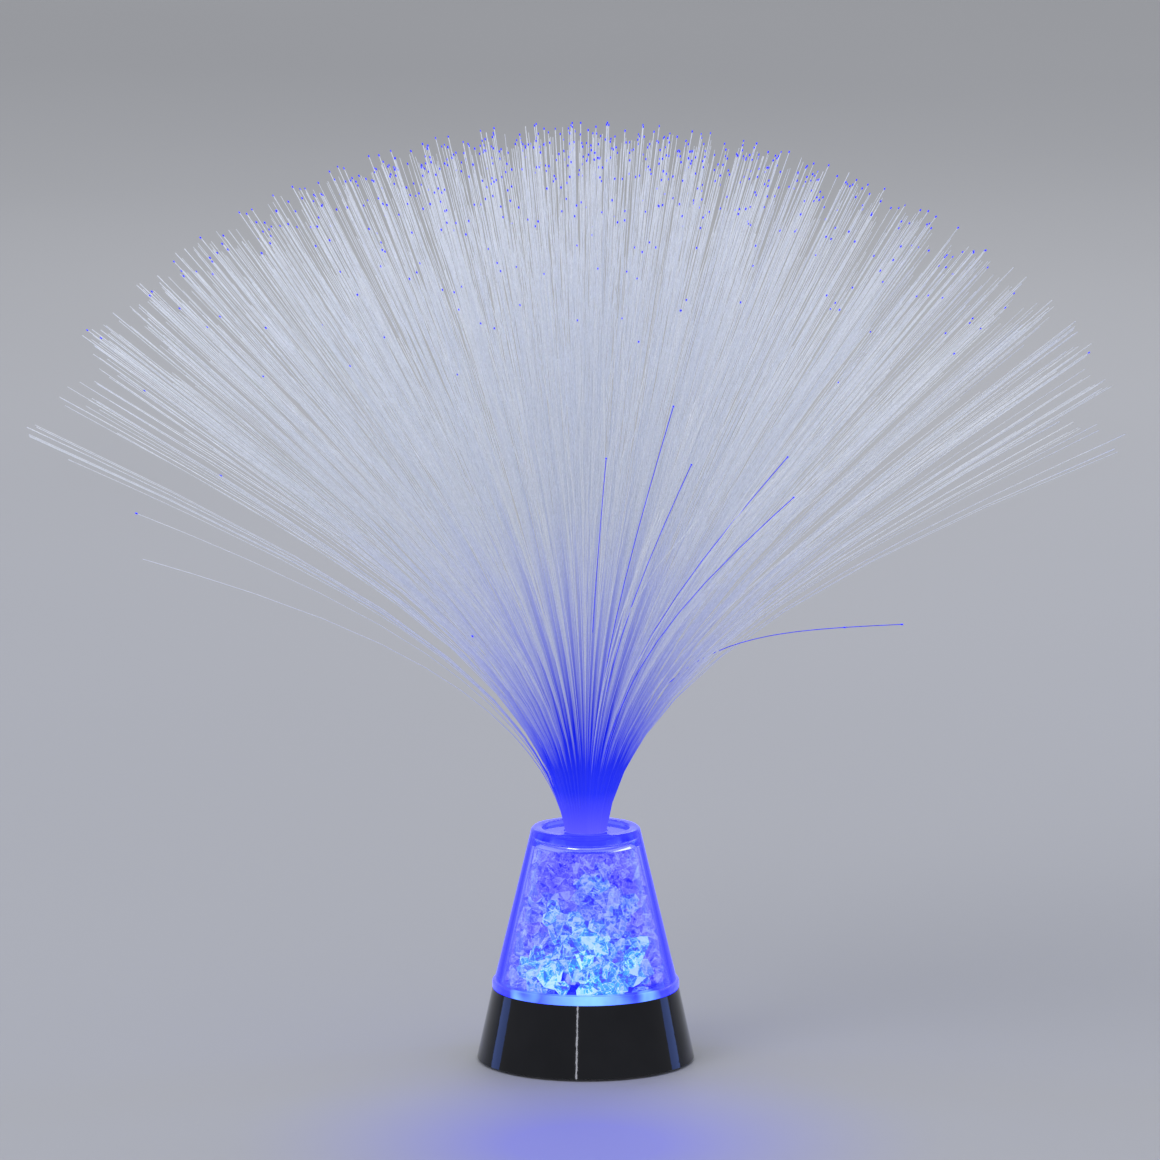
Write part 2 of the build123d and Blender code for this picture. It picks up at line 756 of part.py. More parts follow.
def chip_point_shares(chance):
    """Corners and crowns of one chip, each pulled in by chance, as shares of half its room."""
    shares = []
    for corner in corner_shares:
        shares.append([share * chance.uniform(*corner_pull_shares) for share in corner])
    for crown in crown_shares:
        drift = [chance.uniform(-crown_drift_share, crown_drift_share) for _ in crown]
        reach = chance.uniform(*crown_pull_shares)
        shares.append([share * reach if share else off for share, off in zip(crown, drift)])
    return shares


def chip_solid(chance, inner, outer, middle_angle, half_angle, low, high):
    """One irregular many-faced chip in its own room, a flat-sided wedge of a ring."""
    near = inner / math.cos(half_angle) + crystal_gap
    far = outer - crystal_gap
    points = []
    for across, along, up in chip_point_shares(chance):
        edge_radius = (near + far) / 2 + across * (far - near) / 2
        turn = along * (half_angle - crystal_gap / edge_radius)
        radius = edge_radius * math.cos(half_angle) / math.cos(turn)
        height = (low + high) / 2 + up * ((high - low) / 2 - crystal_gap)
        angle = middle_angle + turn
        points.append(Vector(radius * math.cos(angle), radius * math.sin(angle), height))
    return solid_of(hull_faces(points))


# Crystal chips: layer on layer of rings between the sleeve and the cone's wall
layer_count = round((collar_foot - floor_top) / crystal_size)
layer_height = (collar_foot - floor_top) / layer_count
chip_chance = Random(11)
chips = []
for layer in range(layer_count):
    layer_low = floor_top + layer * layer_height
    layer_high = layer_low + layer_height
    wall_side = min(cone_inside_at(layer_high), cone_bore)
    ring_count = max(1, round((wall_side - sleeve_outer) / crystal_size))
    ring_width = (wall_side - sleeve_outer) / ring_count
    drift = chip_chance.uniform(-ring_drift_share, ring_drift_share) * ring_width
    ring_edges = [sleeve_outer + ring_width * ring + drift for ring in range(ring_count + 1)]
    ring_edges[0] = sleeve_outer
    ring_edges[-1] = wall_side
    for ring_inner, ring_outer in zip(ring_edges, ring_edges[1:]):
        places = round(math.pi * (ring_inner + ring_outer) / crystal_size)
        start = chip_chance.random()
        edges = [
            start + place + chip_chance.uniform(-place_drift_share, place_drift_share)
            for place in range(places)
        ]
        edges.append(edges[0] + places)
        for edge_low, edge_high in zip(edges, edges[1:]):
            middle_angle = math.pi * (edge_low + edge_high) / places
            half_angle = math.pi * (edge_high - edge_low) / places
            chips.append(
                chip_solid(
                    chip_chance, ring_inner, ring_outer, middle_angle, half_angle, layer_low, layer_high
                )
            )
with BuildPart() as crystal_chips:
    add(chips)
save(crystal_chips, "crystal_chips")


def fibre_points(start_radius, azimuth, end_tilt, length, spread, power, shares):
    """Centre line of a strand: it leaves the neck almost upright, leans out and ends nearly straight.

    The tilt grows with the length travelled, quickly within the spread length and then slowly.
    """
    out = start_radius
    up = neck_top
    marks = [(out, up - root_depth)]
    stations = [share * length for share in shares]
    step = length / tracing_steps
    for index in range(tracing_steps):
        travelled = (index + 0.5) * step
        bent_share = 1 - math.exp(-((travelled / spread) ** power))
        tilt = end_tilt * (start_tilt_share + (1 - start_tilt_share) * bent_share)
        out += step * math.sin(tilt)
        up += step * math.cos(tilt)
        if (index + 1) * step >= stations[len(marks) - 1] * (1 - 1 / tracing_steps**2):
            marks.append((out, up))
    return [Vector(out * math.cos(azimuth), out * math.sin(azimuth), up) for out, up in marks]


def strand_solid(points, azimuth):
    """Three-sided strand with flat faces: every cut across it lies in one direction."""
    run = (points[-1] - points[0]).normalized()
    side = Vector(-math.sin(azimuth), math.cos(azimuth), 0)
    cross = run.cross(side)
    rings = []
    for point in points:
        rings.append(
            [
                point + (side * math.cos(turn) + cross * math.sin(turn)) * strand_radius
                for turn in [2 * math.pi * corner / strand_sides for corner in range(strand_sides)]
            ]
        )
    faces = [Face(Wire.make_polygon(rings[0])), Face(Wire.make_polygon(rings[-1]))]
    for lower, upper in zip(rings, rings[1:]):
        for corner in range(strand_sides):
            beside = (corner + 1) % strand_sides
            sheet = [lower[corner], lower[beside], upper[beside], upper[corner]]
            faces.append(Face(Wire.make_polygon(sheet)))
    return solid_of(faces)


# Fibre spray: strands on a sunflower pattern, the outer ones leaning furthest
fibre_chance = Random(300)
strands = []
for number in range(strand_count):
    place_share = math.sqrt((number + 0.5) / strand_count)
    azimuth = math.radians(number * golden_degrees)
    jitter = 1 + fibre_chance.uniform(-tilt_jitter_share, tilt_jitter_share)
    if number >= strand_count - loose_count:
        jitter += fibre_chance.random() ** 2 * loose_tilt_share
    end_tilt = math.radians(spread_degrees) * place_share**tilt_power_share * jitter
    is_stray = number == stray_number
    centre_line = fibre_points(
        place_share * bundle_radius * edge_share,
        azimuth,
        math.radians(stray_degrees) if is_stray else end_tilt,
        stray_length if is_stray else fibre_length,
        stray_spread_length if is_stray else spread_length,
        stray_bend_power if is_stray else 1,
        upright_station_shares if place_share < upright_place_share else leaning_station_shares,
    )
    strands.append(strand_solid(centre_line, azimuth))
with BuildPart() as fibre_spray:
    with BuildSketch(Plane.XY.offset(neck_top - slice_thickness)):
        Circle(bundle_radius)
    extrude(amount=slice_thickness)
    add(strands)
save(fibre_spray, "fibre_spray")
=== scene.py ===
"""Looks of the fiber optic sensory lamp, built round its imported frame."""

import logging
import math
from dataclasses import dataclass, field
from enum import Enum
from random import Random

import bmesh
import bpy
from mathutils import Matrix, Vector


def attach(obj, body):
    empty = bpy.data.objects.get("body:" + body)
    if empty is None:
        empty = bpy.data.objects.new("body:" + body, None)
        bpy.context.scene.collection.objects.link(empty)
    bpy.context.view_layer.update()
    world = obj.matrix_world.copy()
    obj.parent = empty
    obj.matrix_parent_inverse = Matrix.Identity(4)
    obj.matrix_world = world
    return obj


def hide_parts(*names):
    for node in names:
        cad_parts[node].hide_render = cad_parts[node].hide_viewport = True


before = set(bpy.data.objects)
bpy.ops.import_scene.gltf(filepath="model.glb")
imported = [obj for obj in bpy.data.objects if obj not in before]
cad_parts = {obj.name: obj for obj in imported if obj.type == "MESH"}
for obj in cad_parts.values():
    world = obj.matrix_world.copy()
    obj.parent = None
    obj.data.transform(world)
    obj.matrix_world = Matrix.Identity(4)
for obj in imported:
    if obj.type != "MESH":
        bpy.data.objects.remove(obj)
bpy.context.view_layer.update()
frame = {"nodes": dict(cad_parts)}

log = logging.getLogger("lamp")

Colour = tuple[float, float, float]
Point = tuple[float, float, float]
Profile = list[tuple[float, float]]
Socket = bpy.types.NodeSocket
Material = bpy.types.Material

ROOT = "root"
GOLDEN_ANGLE = math.pi * (3 - math.sqrt(5))
BUMP_STRENGTH = 0.6
FINE = 0.00001
NOISE_LOW, NOISE_HIGH = 0.3, 0.7
TONE_LOW, TONE_HIGH = 0.35, 0.65
SHARP_DEGREES = 32.0
ACRYLIC_IOR = 1.49


class Fall(Enum):
    """How a strand falls away from the neck: the power and the length of its bend."""

    FAN = (1.0, 0.060)
    STRAY = (2.5, 0.074)


# Materials


class Graph:
    """Small helper round a material's node tree."""

    def __init__(self, name: str) -> None:
        """Start a material with one principled shader.

        Args:
            name: Name of the material.
        """
        self.material = bpy.data.materials.new(name)
        self.material.use_nodes = True
        self.tree = self.material.node_tree
        self.shader = self.tree.nodes["Principled BSDF"]

    def fill(self, socket: Socket, value: object) -> None:
        """Link a socket to another, or set its own value.

        Args:
            socket: The socket to fill.
            value: Another socket, a number, a place or a colour.
        """
        if isinstance(value, Socket):
            self.tree.links.new(value, socket)
        elif socket.type == "RGBA":
            socket.default_value = (*value, 1.0)
        else:
            socket.default_value = value

    def node(
        self, kind: str, inputs: dict[str | int, object] | None = None, **settings: object
    ) -> bpy.types.Node:
        """Add a node.

        Args:
            kind: Node type without its ShaderNode prefix.
            inputs: What fills its sockets, by their name or number.
            settings: Its plain attributes, by name.

        Returns:
            The new node.
        """
        made = self.tree.nodes.new("ShaderNode" + kind)
        for key, value in settings.items():
            setattr(made, key, value)
        for key, value in (inputs or {}).items():
            self.fill(made.inputs[key], value)
        return made

    def shade(self, **inputs: object) -> None:
        """Fill sockets of the shader, with _ for a space in a name."""
        for key, value in inputs.items():
            self.fill(self.shader.inputs[key.replace("_", " ")], value)

    def position(self) -> Socket:
        """Return the object coordinates of the shaded point."""
        return self.node("TexCoord").outputs["Object"]

    def axes(self) -> tuple[Socket, Socket, Socket]:
        """Return the object coordinates one by one."""
        return tuple(self.node("SeparateXYZ", {0: self.position()}).outputs)

    def distance(self, place: Point) -> Socket:
        """Return how far the shaded point lies from a place in object space."""
        inputs = {0: self.position(), 1: place}
        return self.node("VectorMath", inputs, operation="DISTANCE").outputs["Value"]

    def noise(self, scale: float, detail: float = 3.0) -> Socket:
        """Add a noise field in object space.

        Args:
            scale: Noise cells in one metre.
            detail: Octaves of the noise.

        Returns:
            The noise value, from 0 to 1.
        """
        inputs = {"Vector": self.position(), "Scale": scale, "Detail": detail}
        return self.node("TexNoise", inputs).outputs["Fac"]

    def math(self, operation: str, first: object, second: object = 0.0) -> Socket:
        """Add a math node.

        Args:
            operation: Name of the operation.
            first: Socket or number.
            second: Socket or number.

        Returns:
            The result.
        """
        return self.node("Math", {0: first, 1: second}, operation=operation).outputs[0]

    def spread(
        self, value: Socket, low: float, high: float, to_low: float = 0.0, to_high: float = 1.0
    ) -> Socket:
        """Map a value from one range to another, held at both ends.

        Args:
            value: The value to map.
            low: Lower end of its range.
            high: Upper end of its range.
            to_low: What the lower end becomes.
            to_high: What the upper end becomes.

        Returns:
            The mapped value.
        """
        ends = {"From Min": low, "From Max": high, "To Min": to_low, "To Max": to_high}
        return self.node("MapRange", {"Value": value, **ends}).outputs["Result"]

    def ramp(self, value: Socket, stops: tuple[float, ...], *colours: Colour) -> Socket:
        """Turn a value into a colour.

        Args:
            value: A value from 0 to 1.
            stops: Places of the colours, in order.
            colours: The colours.

        Returns:
            The colour.
        """
        made = self.node("ValToRGB", {"Fac": value})
        line = made.color_ramp.elements
        while len(line) < len(stops):
            line.new(1.0)
        for element, place, colour in zip(line, stops, colours):
            element.position = place
            element.color = (*colour, 1.0)
        return made.outputs["Color"]

    def mix(self, factor: object, first: object, second: object) -> Socket:
        """Mix two colours.

        Args:
            factor: Socket or number from 0 to 1.
            first: Socket or colour.
            second: Socket or colour.

        Returns:
            The mixed colour.
        """
        return self.node("Mix", {0: factor, 6: first, 7: second}, data_type="RGBA").outputs[2]

    def bump(self, height: Socket, depth: float) -> None:
        """Give the shader a bump.

        Args:
            height: Height field from 0 to 1.
            depth: Depth of the relief, in metres.
        """
        inputs = {"Strength": BUMP_STRENGTH, "Distance": depth, "Height": height}
        self.shade(Normal=self.node("Bump", inputs).outputs["Normal"])


def toned(colour: Colour, share: float) -> Colour:
    """Return a colour made darker or lighter by a share."""
    return tuple(part * share for part in colour)


@dataclass(frozen=True)
class Moulded:
    """Solid finish with an even base colour, a fine grain and small changes of tone."""

    name: str
    dark: Colour
    light: Colour
    roughness: float = 0.4
    metallic: float = 0.0
    tone_scale: float = 90.0
    grain_scale: float = 2600.0
    grain_depth: float = 0.00004
    swing: float = 0.15

    def material(self) -> Material:
        """Build the finish.

        Returns:
            Its material.
        """
        graph = Graph(self.name)
        tone = graph.noise(self.tone_scale)
        colour = graph.ramp(tone, (TONE_LOW, TONE_HIGH), self.dark, self.light)
        graph.shade(Metallic=self.metallic, Base_Color=colour)
        grain = graph.noise(self.grain_scale)
        smooth, rough = self.roughness * (1 - self.swing), self.roughness * (1 + self.swing)
        graph.shade(Roughness=graph.spread(grain, NOISE_LOW, NOISE_HIGH, smooth, rough))
        graph.bump(grain, self.grain_depth)
        return graph.material


@dataclass(frozen=True)
class MirrorMetal:
    """Dark plated surface with faint polishing haze and the slight ripple of a moulded wall."""

    name: str
    colour: Colour
    haze_and_painted_glow: float = 0.05
    swing: float = 0.4
    cloud_scale: float = 60.0
    cloud_depth: float = 0.85
    haze_high: float = 0.75
    ripple_scale: float = 420.0
    ripple_depth: float = 0.00002

    def material(self) -> Material:
        """Build the finish.

        Returns:
            Its material.
        """
        graph = Graph(self.name)
        cloud = graph.noise(self.cloud_scale, 4.0)
        deeper = toned(self.colour, self.cloud_depth)
        plating = graph.ramp(cloud, (TONE_LOW, NOISE_HIGH), deeper, self.colour)
        graph.shade(Metallic=1.0, Base_Color=plating)
        smooth, hazy = self.haze_and_painted_glow * (1 - self.swing), self.haze_and_painted_glow * (1 + self.swing)
        graph.shade(Roughness=graph.spread(cloud, NOISE_LOW, self.haze_high, smooth, hazy))
        graph.bump(graph.noise(self.ripple_scale, 2.0), self.ripple_depth)
        return graph.material


@dataclass(frozen=True)
class LitAcrylic:
    """Clear acrylic that carries the blue light of the lamps along its walls, painted on as glow
    and as edge colour.
    """

    name: str
    tint: Colour = (0.78, 0.86, 1.0)
    # Painted glow: deep blue base colour of the lit wall at its grazing edges
    painted_edge_blue: Colour = (0.002, 0.004, 0.6)
    # Painted glow: base colour of the lit flange band and rim
    painted_band_blue: Colour = (0.02, 0.03, 0.9)
    gloss_tint: Colour = (0.03, 0.035, 1.0)
    wall_glow: Colour = (0.004, 0.006, 1.0)
    band_glow: Colour = (0.06, 0.065, 1.0)
    hot_glow: Colour = (0.30, 0.68, 1.0)
    wall_strength: float = 0.75
    least_painted_glow: float = 0.10
    band_strength: float = 0.8
    facing_blend: float = 0.5
    edge_from: float = 0.49
    edge_to: float = 0.61
    band_top: float = 0.0301
    band_blur: float = 0.0005
    gleam_place: Point = (0.0, -0.034, 0.0275)
    gleam_core: float = 0.004
    gleam_reach: float = 0.020
    streak_scale: float = 110.0
    streak_swing: tuple[float, float] = (0.75, 1.15)
    patch_scale: float = 70.0
    patch_edge: tuple[float, float] = (0.55, 0.72)
    rim_share: float = 0.7
    collar_z: float = 0.0800
    rim_z: float = 0.0855
    roughness: float = 0.03

    def material(self) -> Material:
        """Build the finish.

        Returns:
            Its material.
        """
        graph = Graph(self.name)
        graph.shade(Transmission_Weight=1.0, IOR=ACRYLIC_IOR, Roughness=self.roughness)
        graph.shade(Specular_Tint=self.gloss_tint)
        facing = graph.node("LayerWeight", {"Blend": self.facing_blend}).outputs["Facing"]
        edge = graph.spread(facing, self.edge_from, self.edge_to)
        height = graph.axes()[2]
        in_band = graph.spread(height, self.band_top, self.band_top + self.band_blur, 1.0, 0.0)
        in_rim = graph.spread(height, self.collar_z, self.rim_z, 0.0, self.rim_share)
        bright = graph.math("MAXIMUM", in_band, in_rim)
        streak = graph.noise(self.streak_scale, 2.0)
        streak = graph.spread(streak, TONE_LOW, TONE_HIGH, *self.streak_swing)
        # Painted glow and highlight: a bright spot at the front of the flange band, and patches of
        # hotter glow in it.
        apart = graph.distance(self.gleam_place)
        gleam = graph.spread(apart, self.gleam_core, self.gleam_reach, 1.0, 0.0)
        patch = graph.spread(graph.noise(self.patch_scale, 1.0), *self.patch_edge)
        hot = graph.math("MULTIPLY", graph.math("MAXIMUM", patch, gleam), in_band)
        # Painted glow of the lit walls: the base colour turns deep blue at the grazing edges.
        clear = graph.mix(edge, self.tint, self.painted_edge_blue)
        # Painted glow: the lit flange band and the rim above the collar take a deep blue base
        # colour.
        graph.shade(Base_Color=graph.mix(bright, clear, self.painted_band_blue))
        band = graph.mix(hot, self.band_glow, self.hot_glow)
        graph.shade(Emission_Color=graph.mix(bright, self.wall_glow, band))
        # Painted glow over the whole wall, strongest at the grazing edges.
        wall = graph.spread(edge, 0.0, 1.0, self.least_painted_glow, self.wall_strength)
        glow = graph.math("MAXIMUM", wall, graph.math("MULTIPLY", bright, self.band_strength))
        graph.shade(Emission_Strength=graph.math("MULTIPLY", glow, streak))
        return graph.material


@dataclass(frozen=True)
class CrystalFinish:
    """Chips of clear acrylic with the light of the lamps below painted on as glow, each facet in
    its own tone.
    """

    name: str
    deep: Colour = (0.020, 0.015, 0.62)
    body: Colour = (0.11, 0.090, 0.88)
    pale: Colour = (0.20, 0.175, 0.96)
    light: Colour = (0.36, 0.38, 1.0)
    cold: Colour = (0.03, 0.27, 0.92)
    hot: Colour = (0.08, 0.62, 0.86)
    spark: Colour = (0.68, 1.0, 0.80)
    under: Colour = (0.02, 0.02, 0.25)
    cool_stops: tuple[float, ...] = (0.10, 0.28, 0.58, 0.85)
    warm_stops: tuple[float, ...] = (0.10, 0.24, 0.44, 0.64)
    cell_scale: float = 330.0
    # Painted highlight lines along the cell edges: their scale, width and brightness
    highlight_line_scale: float = 460.0
    highlight_line_width: float = 0.09
    highlight_line_strength: float = 0.3
    warp_scale: float = 260.0
    warp_reach: float = 0.006
    spark_scale: float = 1300.0
    spark_edge: tuple[float, float] = (0.66, 0.74)
    spark_light: float = 0.4
    ripple_scale: float = 600.0
    ripple_reach: float = 0.08
    facet_share: float = 0.5
    shard_share: float = 0.34
    roughness: float = 0.12

    def material(self) -> Material:
        """Build the finish.

        Returns:
            Its material.
        """
        graph = Graph(self.name)
        graph.shade(Base_Color=self.under, Roughness=self.roughness, IOR=ACRYLIC_IOR)
        # Each facet's own tone, and the painted shine of its chip.
        layer = graph.node("Attribute", attribute_name="shine").outputs["Color"]
        facet, painted_shine = graph.node("SeparateColor", {0: layer}).outputs[:2]
        warp = graph.node("TexNoise", {"Vector": graph.position(), "Scale": self.warp_scale})
        bent = {0: warp.outputs["Color"], 1: (self.warp_reach,) * 3, 2: graph.position()}
        place = graph.node("VectorMath", bent, operation="MULTIPLY_ADD").outputs[0]
        cells = graph.node("TexVoronoi", {"Vector": place, "Scale": self.cell_scale}, feature="F1")
        shard = graph.node("SeparateColor", {0: cells.outputs["Color"]}).outputs[0]
        # Painted highlights: thin bright lines along the cell edges, and tiny glints.
        inputs = {"Vector": place, "Scale": self.highlight_line_scale}
        highlight_line_distance = graph.node("TexVoronoi", inputs, feature="DISTANCE_TO_EDGE").outputs["Distance"]
        painted_edge_highlight = graph.spread(highlight_line_distance, 0.0, self.highlight_line_width, self.highlight_line_strength, 0.0)
        spark = graph.noise(self.spark_scale, 1.0)
        spark = graph.spread(spark, *self.spark_edge, 0.0, self.spark_light)
        ripple = graph.noise(self.ripple_scale, 2.0)
        ends = -self.ripple_reach, self.ripple_reach
        ripple = graph.spread(ripple, NOISE_LOW, NOISE_HIGH, *ends)
        own = graph.math("MULTIPLY", facet, self.facet_share)
        inner = graph.math("MULTIPLY", shard, self.shard_share)
        tone = graph.math("ADD", graph.math("ADD", own, inner), ripple)
        tone = graph.math("ADD", tone, graph.math("ADD", painted_edge_highlight, spark))
        # Painted glow of the chips: deep to pale blue, turning cyan and white where a lamp shines
        # through.
        cool = graph.ramp(tone, self.cool_stops, self.deep, self.body, self.pale, self.light)
        warm = graph.ramp(tone, self.warm_stops, self.body, self.cold, self.hot, self.spark)
        graph.shade(Emission_Color=graph.mix(painted_shine, cool, warm), Emission_Strength=1.0)
        return graph.material


@dataclass(frozen=True)
class FibreFinish:
    """Side-lit fibre with painted glow: blue where it leaves the neck, clear and greyish white
    above.
    """

    name: str
    neck_z: float
    glow_reach: float = 0.125
    glow_foot: float = 0.018
    glow_head: float = 0.056
    side_glow: float = 0.38
    side_edge: tuple[float, float] = (0.4, 1.3)
    full_rise: tuple[float, float] = (0.06, 0.24)
    glow_stops: tuple[float, ...] = (0.0, 0.12, 0.40)
    neck_glow: Colour = (0.13, 0.12, 0.95)
    mid_glow: Colour = (0.02, 0.035, 0.85)
    deep_glow: Colour = (0.004, 0.012, 0.6)
    lit_body: Colour = (0.01, 0.015, 0.3)
    body: Colour = (0.86, 0.89, 0.96)
    # Painted glow: faint whitish light over the whole fibre that lifts its shade
    haze_and_painted_glow: Colour = (0.50, 0.56, 0.70)
    least_painted_glow: float = 0.12
    glow_strength: float = 0.8
    glow_hold: float = 1.45
    streak_scale: float = 900.0
    streak_depth: float = 0.84
    roughness: float = 0.25

    def material(self) -> Material:
        """Build the finish.

        Returns:
            Its material.
        """
        graph = Graph(self.name)
        across, along, height = graph.axes()
        rise = graph.spread(height, self.neck_z, self.neck_z + self.glow_reach)
        across, along = (graph.math("POWER", axis, 2.0) for axis in (across, along))
        out = graph.math("SQRT", graph.math("ADD", across, along))
        reach = graph.spread(rise, 0.0, 1.0, self.glow_foot, self.glow_head)
        share = graph.math("DIVIDE", out, reach)
        near = graph.spread(share, *self.side_edge, 1.0, self.side_glow)
        near = graph.math("MAXIMUM", near, graph.spread(rise, *self.full_rise, 1.0, 0.0))
        fade = graph.math("MULTIPLY", graph.spread(rise, 0.0, 1.0, 1.0, 0.0), near)
        lit = graph.math("MINIMUM", graph.math("MULTIPLY", fade, self.glow_hold), 1.0)
        glows = self.neck_glow, self.mid_glow, self.deep_glow
        glow = graph.ramp(rise, self.glow_stops, *glows)
        deeper = toned(self.body, self.streak_depth)
        streak = graph.noise(self.streak_scale, 2.0)
        plain = graph.ramp(streak, (NOISE_LOW, NOISE_HIGH), deeper, self.body)
        graph.shade(Base_Color=graph.mix(lit, plain, self.lit_body))
        # Painted glow: blue near the neck, faint and whitish elsewhere.
        graph.shade(Emission_Color=graph.mix(lit, self.haze_and_painted_glow, glow))
        strength = graph.spread(lit, 0.0, 1.0, self.least_painted_glow, self.glow_strength)
        graph.shade(Emission_Strength=strength, Roughness=self.roughness, IOR=ACRYLIC_IOR)
        return graph.material


@dataclass(frozen=True)
class Glow:
    """Plain glow of a lit fibre or its tip, a little uneven along its length."""

    name: str
    colour: Colour
    strength: float
    base: Colour = (0.01, 0.01, 0.4)
    patch_scale: float = 500.0
    patch_depth: float = 0.6
    base_lift: float = 1.2
    roughness: float = 0.3

    def material(self) -> Material:
        """Build the finish.

        Returns:
            Its material.
        """
        graph = Graph(self.name)
        patch = graph.noise(self.patch_scale, 1.0)
        deeper, paler = toned(self.colour, self.patch_depth), toned(self.base, self.base_lift)
        body = graph.ramp(patch, (NOISE_LOW, NOISE_HIGH), self.base, paler)
        glow = graph.ramp(patch, (NOISE_LOW, TONE_HIGH), deeper, self.colour)
        graph.shade(Base_Color=body, Emission_Color=glow)
        graph.shade(Emission_Strength=self.strength, Roughness=self.roughness)
        return graph.material


@dataclass(frozen=True)
class StudioFloor:
    """Plain pale floor with the lamp's blue pool of light painted on, clear from below."""

    name: str
    colour: Colour
    pool: Colour = (0.0, 0.0, 1.0)
    pool_strength: float = 0.30
    pool_middle: float = -0.138
    pool_half_width: float = 0.135
    pool_half_depth: float = 0.150
    pool_core: float = 0.2
    pool_power: float = 1.8
    # Painted pool: darker blue base colour under the lamp's light
    painted_pool_colour: Colour = (0.12, 0.13, 0.4)
    painted_pool_share: float = 0.45
    foot_reach: float = 0.0395
    cloud_scale: float = 0.8
    cloud_depth: float = 0.97
    cloud_stops: tuple[float, float] = (0.4, 0.6)
    roughness: float = 0.75

    def material(self) -> Material:
        """Build the finish.

        Returns:
            Its material.
        """
        graph = Graph(self.name)
        cloud = graph.noise(self.cloud_scale, 2.0)
        deeper = toned(self.colour, self.cloud_depth)
        plain = graph.ramp(cloud, self.cloud_stops, deeper, self.colour)
        # Painted pool of the lamp's blue light: emission and a darker blue base colour in an oval
        # in front of the base.
        oval = {
            "Vector": graph.position(),
            "Location": (0.0, self.pool_middle, 0.0),
            "Scale": (self.pool_half_width, self.pool_half_depth, 1.0),
        }
        place = graph.node("Mapping", oval, vector_type="TEXTURE").outputs[0]
        away = graph.node("VectorMath", {0: place}, operation="LENGTH").outputs["Value"]
        near = graph.spread(away, self.pool_core, 1.0, 1.0, 0.0)
        fade = graph.math("POWER", near, self.pool_power)
        painted_pool_mix = graph.math("MULTIPLY", fade, self.painted_pool_share)
        graph.shade(Base_Color=graph.mix(painted_pool_mix, plain, self.painted_pool_colour), Emission_Color=self.pool)
        reach = graph.distance((0.0, 0.0, 0.0))
        outside = graph.math("GREATER_THAN", reach, self.foot_reach)
        open_pool = graph.math("MULTIPLY", fade, outside)
        strength = graph.math("MULTIPLY", open_pool, self.pool_strength)
        graph.shade(Emission_Strength=strength, Roughness=self.roughness)
        below = graph.node("NewGeometry").outputs["Backfacing"]
        rays = graph.node("LightPath").outputs
        under = graph.math("LESS_THAN", reach, self.foot_reach)
        under = graph.math("MULTIPLY", under, rays["Is Glossy Ray"])
        hidden = graph.math("MAXIMUM", below, rays["Is Diffuse Ray"])
        hidden = graph.math("MAXIMUM", hidden, under)
        clear = graph.node("BsdfTransparent").outputs[0]
        seen = graph.shader.outputs[0]
        choice = graph.node("MixShader", {0: hidden, 1: seen, 2: clear}).outputs[0]
        graph.fill(graph.tree.nodes["Material Output"].inputs["Surface"], choice)
        return graph.material


# Mesh helpers


def new_piece(name: str, verts: list, faces: list, material: Material) -> bpy.types.Object:
    """Make a smooth mesh object that is in the scene.

    Args:
        name: Name of the piece.
        verts: Points, in metres.
        faces: Corners of each face.
        material: Finish of the whole piece.

    Returns:
        The new object.
    """
    mesh = bpy.data.meshes.new(name)
    mesh.from_pydata(verts, [], faces)
    mesh.update()
    mesh.materials.append(material)
    mesh.polygons.foreach_set("use_smooth", [True] * len(mesh.polygons))
    piece = bpy.data.objects.new(name, mesh)
    bpy.context.scene.collection.objects.link(piece)
    return piece


def rounded(corners: list[Point], steps: int = 5) -> Profile:
    """Round the corners of a closed profile.

    Args:
        corners: Radius, height and rounding of each corner.
        steps: Points on each rounded corner, less one.

    Returns:
        The profile as a list of radius and height.
    """
    outline: Profile = []
    count = len(corners)
    for index, (radius, height, round_size) in enumerate(corners):
        here = Vector((radius, height))
        if round_size <= 0:
            outline.append((radius, height))
            continue
        back = (Vector(corners[index - 1][:2]) - here).normalized()
        ahead = (Vector(corners[(index + 1) % count][:2]) - here).normalized()
        half = back.angle(ahead) / 2
        reach = round_size / math.tan(half)
        start, end = here + back * reach, here + ahead * reach
        middle = here + (back + ahead).normalized() * (round_size / math.sin(half))
        first, last = start - middle, end - middle
        for step in range(steps + 1):
            point = middle + first.slerp(last, step / steps) * first.length
            outline.append((point.x, point.y))
    return outline


def lathe(name: str, outline: Profile, material: Material, turns: int = 144) -> bpy.types.Object:
    """Turn a closed profile about the lamp's axis.

    Args:
        name: Name of the piece.
        outline: Closed profile of radius and height.
        material: Its finish.
        turns: Steps round the axis.

    Returns:
        The turned piece, with sharp edges kept where the profile turns sharply.
    """
    count = len(outline)
    angles = [2 * math.pi * turn / turns for turn in range(turns)]
    verts = [
        (radius * math.cos(angle), radius * math.sin(angle), height)
        for angle in angles
        for radius, height in outline
    ]
    faces = [
        (
            turn * count + index,
            (turn + 1) % turns * count + index,
            (turn + 1) % turns * count + (index + 1) % count,
            turn * count + (index + 1) % count,
        )
        for turn in range(turns)
        for index in range(count)
    ]
    piece = new_piece(name, verts, faces, material)
    shape = bmesh.new()
    shape.from_mesh(piece.data)
    bmesh.ops.recalc_face_normals(shape, faces=shape.faces)
    for edge in shape.edges:
        if len(edge.link_faces) == 2 and edge.calc_face_angle() > math.radians(SHARP_DEGREES):
            edge.smooth = False
    shape.to_mesh(piece.data)
    shape.free()
    return piece


def sideways(azimuth: float) -> Vector:
    """Return the level direction across the one that a fibre leans to."""
    return Vector((-math.sin(azimuth), math.cos(azimuth), 0.0))


